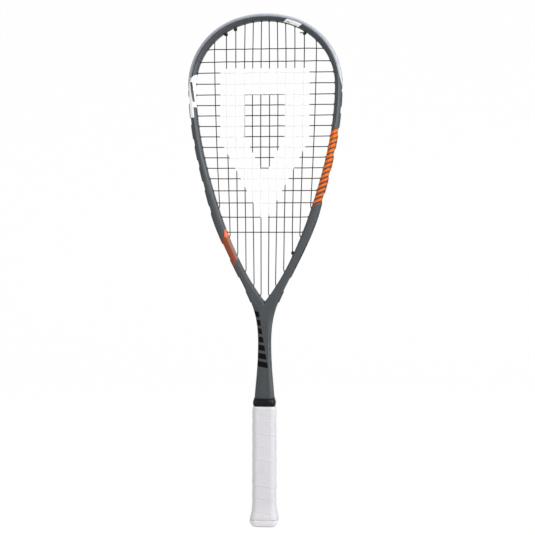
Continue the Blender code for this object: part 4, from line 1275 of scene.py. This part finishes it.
def build_grip():
    """The tape as one long ribbon wound up the handle, each turn lapping."""
    cols = 132
    # places across the width of a turn
    profile = (0.0, 0.012, 0.03, 0.06, 0.12, 0.22, 0.35, 0.5, 0.65, 0.78, 0.88,
               0.94, 0.975, 0.992)
    girth_length, winding_drop = 104.0, 6.9
    verts, wrap, girth = [], [], []
    first = GRIP_LOW_Z - TAPE_PITCH * 1.2
    turns = int((GRIP_TOP_Z - first) / TAPE_PITCH) + 3
    rows = [(first + k * TAPE_PITCH, t) for k in range(turns) for t in profile]
    for base_z, t in rows:
        for c in range(cols + 1):
            p = c / cols * 0.99997
            # seams fall from left to right across the front
            z = base_z + TAPE_PITCH * (t + 1.0 - p) - winding_drop
            z = min(max(z, GRIP_LOW_Z), GRIP_TOP_Z)
            above, below = z - GRIP_LOW_Z, GRIP_TOP_Z - z
            lift = TAPE_LAP * smoothstep(0.0, 0.03, t) * (1.0 - t) ** 0.8
            wobble = 0.05 * math.sin(9.0 * p * math.tau + base_z - TAPE_PITCH * p) * (1 - t)
            ripple = 0.04 * math.sin(z * 0.9 + 5.0 * math.sin(p * math.tau))
            calm = smoothstep(0.0, 3.4, below) * smoothstep(0.0, 1.2, above)
            inset = 0.42 - (lift + wobble) * calm - ripple
            wide = flare(z)
            x, y, normal_x, normal_y = ring_point(GRIP_HALF_X + wide - inset,
                                                  GRIP_HALF_Y + wide - inset, p)
            # both ends are drawn in, the upper one more
            ends = smoothstep(0.0, 1.2, above) * smoothstep(0.0, 2.4, below)
            pull = (1.0 if z > 80.0 else 0.3) * (1.0 - ends)
            verts.append((x - normal_x * pull, y - normal_y * pull, z))
            wrap.append(t)
            girth.append(p * girth_length)
    faces = grid_faces(len(rows), cols + 1, close_cols=False)
    ob = make("wound_grip", verts, faces, GRIP_MAT,
              {"wrap": wrap, "girth": girth}, weld=0.0008)
    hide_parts("grip_tape")
    solid = ob.modifiers.new("thickness", 'SOLIDIFY')
    solid.thickness = TAPE_THICK * MM
    solid.offset = -1.0
    solid.use_rim = True


def lofted(name, stack, mat, node, body="racket", capped=False, lap=0.0):
    """Handle section swept through rows of (half_x, half_y, z, rounding).

    Capped pieces get end faces, others join the last row to the first. lap
    raises the first part of each turn.
    """
    cols, lap_share = 120, 0.15
    verts = []
    for half_x, half_y, z, rounding in stack:
        for c in range(cols):
            lift = lap if c / cols < lap_share else 0.0
            x, y, normal_x, normal_y = ring_point(half_x, half_y, c / cols, rounding)
            verts.append((x + normal_x * lift, y + normal_y * lift, z))
    faces = grid_faces(len(stack), cols, close_rows=not capped)
    if capped:
        faces += end_faces(len(stack), cols)
    ob = make(name, verts, faces, mat, body=body)
    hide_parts(node)


def build_butt_cap():
    """Recessed floor in a raised ring, round side, and a skirt under the tape."""
    oblong = GRIP_HALF_X - GRIP_HALF_Y
    under, wall = 2.15, 1.0     # skirt below the grip surface, skirt thickness
    line = soften([(0.0, 0.55), (8.0, 0.55), (8.6, 0.0), (11.2, 0.0), (14.5, 0.5),
                   (17.0, 2.9), (18.6, 6.0), (19.0, 9.3), (17.4, 9.3), (16.8, 9.4)], 1.2, 5)
    stack = [(max(r, 0.4), max(r - oblong, 0.35), z) for r, z in line[1:]]
    skirt = [(GRIP_HALF_X + flare(z) - under, GRIP_HALF_Y + flare(z) - under, z)
             for z in (9.2, 12.0, 15.0, 18.0, 21.0, 24.0)]
    stack += skirt
    stack += [(x - wall, y - wall, z) for x, y, z in reversed(skirt)]
    stack += [(12.9, 10.9, 9.0), (12.6, 10.6, 3.0)]
    lofted("butt_end", [(*row, 0.5) for row in stack], CAP_MAT, "butt_cap",
           capped=True)


def build_collar():
    """A tall rounded tier and a slim ring above it."""
    low_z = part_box("collar")[0].z / MM
    oblong = 2.3
    line = [(13.48, 0.35)]      # half width, height over the foot
    for k in range(25):
        t = k / 24
        line.append((13.95 + 1.15 * math.sin(math.pi * (0.05 + 0.88 * t)) ** 0.55,
                     0.05 + 7.75 * t))
    line.append((13.75, 7.95))
    for k in range(11):
        t = k / 10
        line.append((13.72 + 0.38 * math.sin(math.pi * t) ** 0.6, 8.1 + 2.25 * t))
    line.append((13.48, 10.1))
    lofted("ringed_collar",
           [(r, r - oblong, low_z + z, 0.62 if r > 13.6 else 0.40) for r, z in line],
           RUBBER_MAT, "collar", body="collar")


def build_finishing_tape():
    """Thin band with a lapped end."""
    stack = [(13.05, 10.86, 162.1), (13.22, 11.02, 162.2), (13.24, 11.04, 165.5),
             (13.26, 11.06, 169.4), (13.10, 10.92, 169.6)]
    vinyl = plain_finish("vinyl_band", rgb=(0.03, 0.03, 0.032), rough=0.45,
                         grain=240.0, depth=0.06)
    lofted("finishing_band", [(*row, 0.36) for row in stack], vinyl,
           "finishing_tape", lap=0.06)


build_grip()
build_butt_cap()
build_collar()
build_finishing_tape()

# inner pieces keep their CAD shape
for _names, _mat in (
        (("handle_core",),
         plain_finish("moulded_foam_core", rgb=(0.52, 0.47, 0.38), rough=0.8,
                      grain=500.0, depth=0.2)),
        (("cap_staple_left", "cap_staple_right"),
         plain_finish("staple_wire", rgb=(0.55, 0.55, 0.56), rough=0.35,
                      grain=800.0, depth=0.02, metal=1.0)),
        (("shaft_plug_left", "shaft_plug_right"),
         plain_finish("grey_cell_foam", rgb=(0.25, 0.25, 0.26), rough=0.9,
                      grain=900.0, depth=0.25))):
    for _name in _names:
        _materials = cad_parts[_name].data.materials
        _materials.clear()
        _materials.append(_mat)

# -------------------------------------------------------------------- studio
scene = bpy.context.scene
scene.view_settings.view_transform = 'Standard'
scene.view_settings.look = 'None'


def build_world():
    """White to the camera; dimmer to the racket, brighter above, right and in front."""
    ambient, from_above, from_right, from_front = 0.44, 0.46, 0.14, 0.26
    world = bpy.data.worlds.new("studio") if scene.world is None else scene.world
    scene.world = world
    world.use_nodes = True
    tree = world.node_tree
    tree.nodes.clear()
    output = tree.nodes.new('ShaderNodeOutputWorld')
    mix = tree.nodes.new('ShaderNodeMixShader')
    path = tree.nodes.new('ShaderNodeLightPath')
    seen = tree.nodes.new('ShaderNodeBackground')
    seen.inputs[0].default_value = (1.0, 1.0, 1.0, 1.0)
    seen.inputs[1].default_value = 1.0
    lit = tree.nodes.new('ShaderNodeBackground')
    coord = tree.nodes.new('ShaderNodeTexCoord')
    split = tree.nodes.new('ShaderNodeSeparateXYZ')
    tree.links.new(coord.outputs['Generated'], split.inputs[0])
    x, y, z = [Value(tree, split.outputs[k]) for k in range(3)]
    sky = (z.ramp(start=-0.55, end=0.75) * from_above + ambient
           + x.ramp(start=-0.7, end=0.7) * from_right
           + (y * -1.0).ramp(start=0.1, end=1.0) * from_front)
    tree.links.new(sky.socket, lit.inputs[1])
    tree.links.new(path.outputs['Is Camera Ray'], mix.inputs[0])
    tree.links.new(lit.outputs[0], mix.inputs[1])
    tree.links.new(seen.outputs[0], mix.inputs[2])
    tree.links.new(mix.outputs[0], output.inputs[0])


def build_backdrop():
    """Floor that curves up into the wall behind, near white to the camera."""
    half_width, front_y, curve_y, radius, wall_top = 6.0, -4.0, 2.2, 1.3, 5.0
    drop = 0.0004               # just clear of the butt end
    line = [(front_y, 0.0), (curve_y, 0.0)]
    for k in range(1, 13):
        angle = math.radians(90.0 * k / 12)
        line.append((curve_y + radius * math.sin(angle), radius - radius * math.cos(angle)))
    line.append((curve_y + radius, wall_top))
    verts = [(x, y, z - drop) for y, z in line for x in (-half_width, half_width)]
    faces = [(2 * k, 2 * k + 1, 2 * k + 3, 2 * k + 2) for k in range(len(line) - 1)]
    mesh = bpy.data.meshes.new("backdrop")
    mesh.from_pydata(verts, [], faces)
    for poly in mesh.polygons:
        poly.use_smooth = True
    ob = bpy.data.objects.new("backdrop", mesh)
    scene.collection.objects.link(ob)
    f = Finish("backdrop_paper", rough=0.9, rgb=(0.90, 0.90, 0.90))
    path = f.tree.nodes.new('ShaderNodeLightPath')
    seen = Value(f.tree, path.outputs['Is Camera Ray'])
    glow = 0.958
    f.shade(seen, at0=0.62, at1=0.05)
    f.set("Emission Color", (1.0, 1.0, 1.0, 1.0))
    f.set("Emission Strength", seen * glow)
    f.set("Specular IOR Level", 0.0)
    mesh.materials.append(f.done())


def aim_from(place, target):
    return (Vector(target) - Vector(place)).to_track_quat('-Z', 'Y')


def softbox(name, place, aim, size, power):
    light = bpy.data.lights.new(name, 'AREA')
    light.shape = 'RECTANGLE'
    light.size, light.size_y = size
    light.energy = power
    ob = bpy.data.objects.new(name, light)
    ob.location = place
    ob.rotation_euler = aim_from(place, aim).to_euler()
    scene.collection.objects.link(ob)


def build_camera():
    azimuth, roll = math.radians(5.5), math.radians(0.12)   # to the right of front
    distance, height = 1.70, 0.3460
    view_width = 0.7171675      # width seen at the racket
    off_middle = 0.003552325    # the racket stands this far left of the middle
    data = bpy.data.cameras.new("camera")
    camera = bpy.data.objects.new("camera", data)
    scene.collection.objects.link(camera)
    scene.camera = camera
    data.sensor_fit = 'HORIZONTAL'
    data.sensor_width = 36.0
    data.lens = data.sensor_width * distance / view_width
    data.shift_x = off_middle / view_width
    camera.location = (distance * math.sin(azimuth), -distance * math.cos(azimuth), height)
    camera.rotation_mode = 'QUATERNION'
    camera.rotation_quaternion = (aim_from(camera.location, (0.0, 0.0, height))
                                  @ Matrix.Rotation(roll, 4, 'Z').to_quaternion())


build_world()
build_backdrop()
softbox("key", place=(1.75, -0.75, 0.95), aim=(0, 0, 0.36), size=(0.9, 1.8), power=24.0)
softbox("fill", place=(-1.7, -1.2, 0.7), aim=(0, 0, 0.36), size=(0.5, 1.6), power=3.0)
softbox("kick", place=(0.20, -1.4, 0.98), aim=(0, 0, 0.2), size=(0.20, 0.16), power=4.5)
softbox("top", place=(0.1, 0.5, 2.6), aim=(0, 0, 0.5), size=(1.8, 1.4), power=12.0)
build_camera()
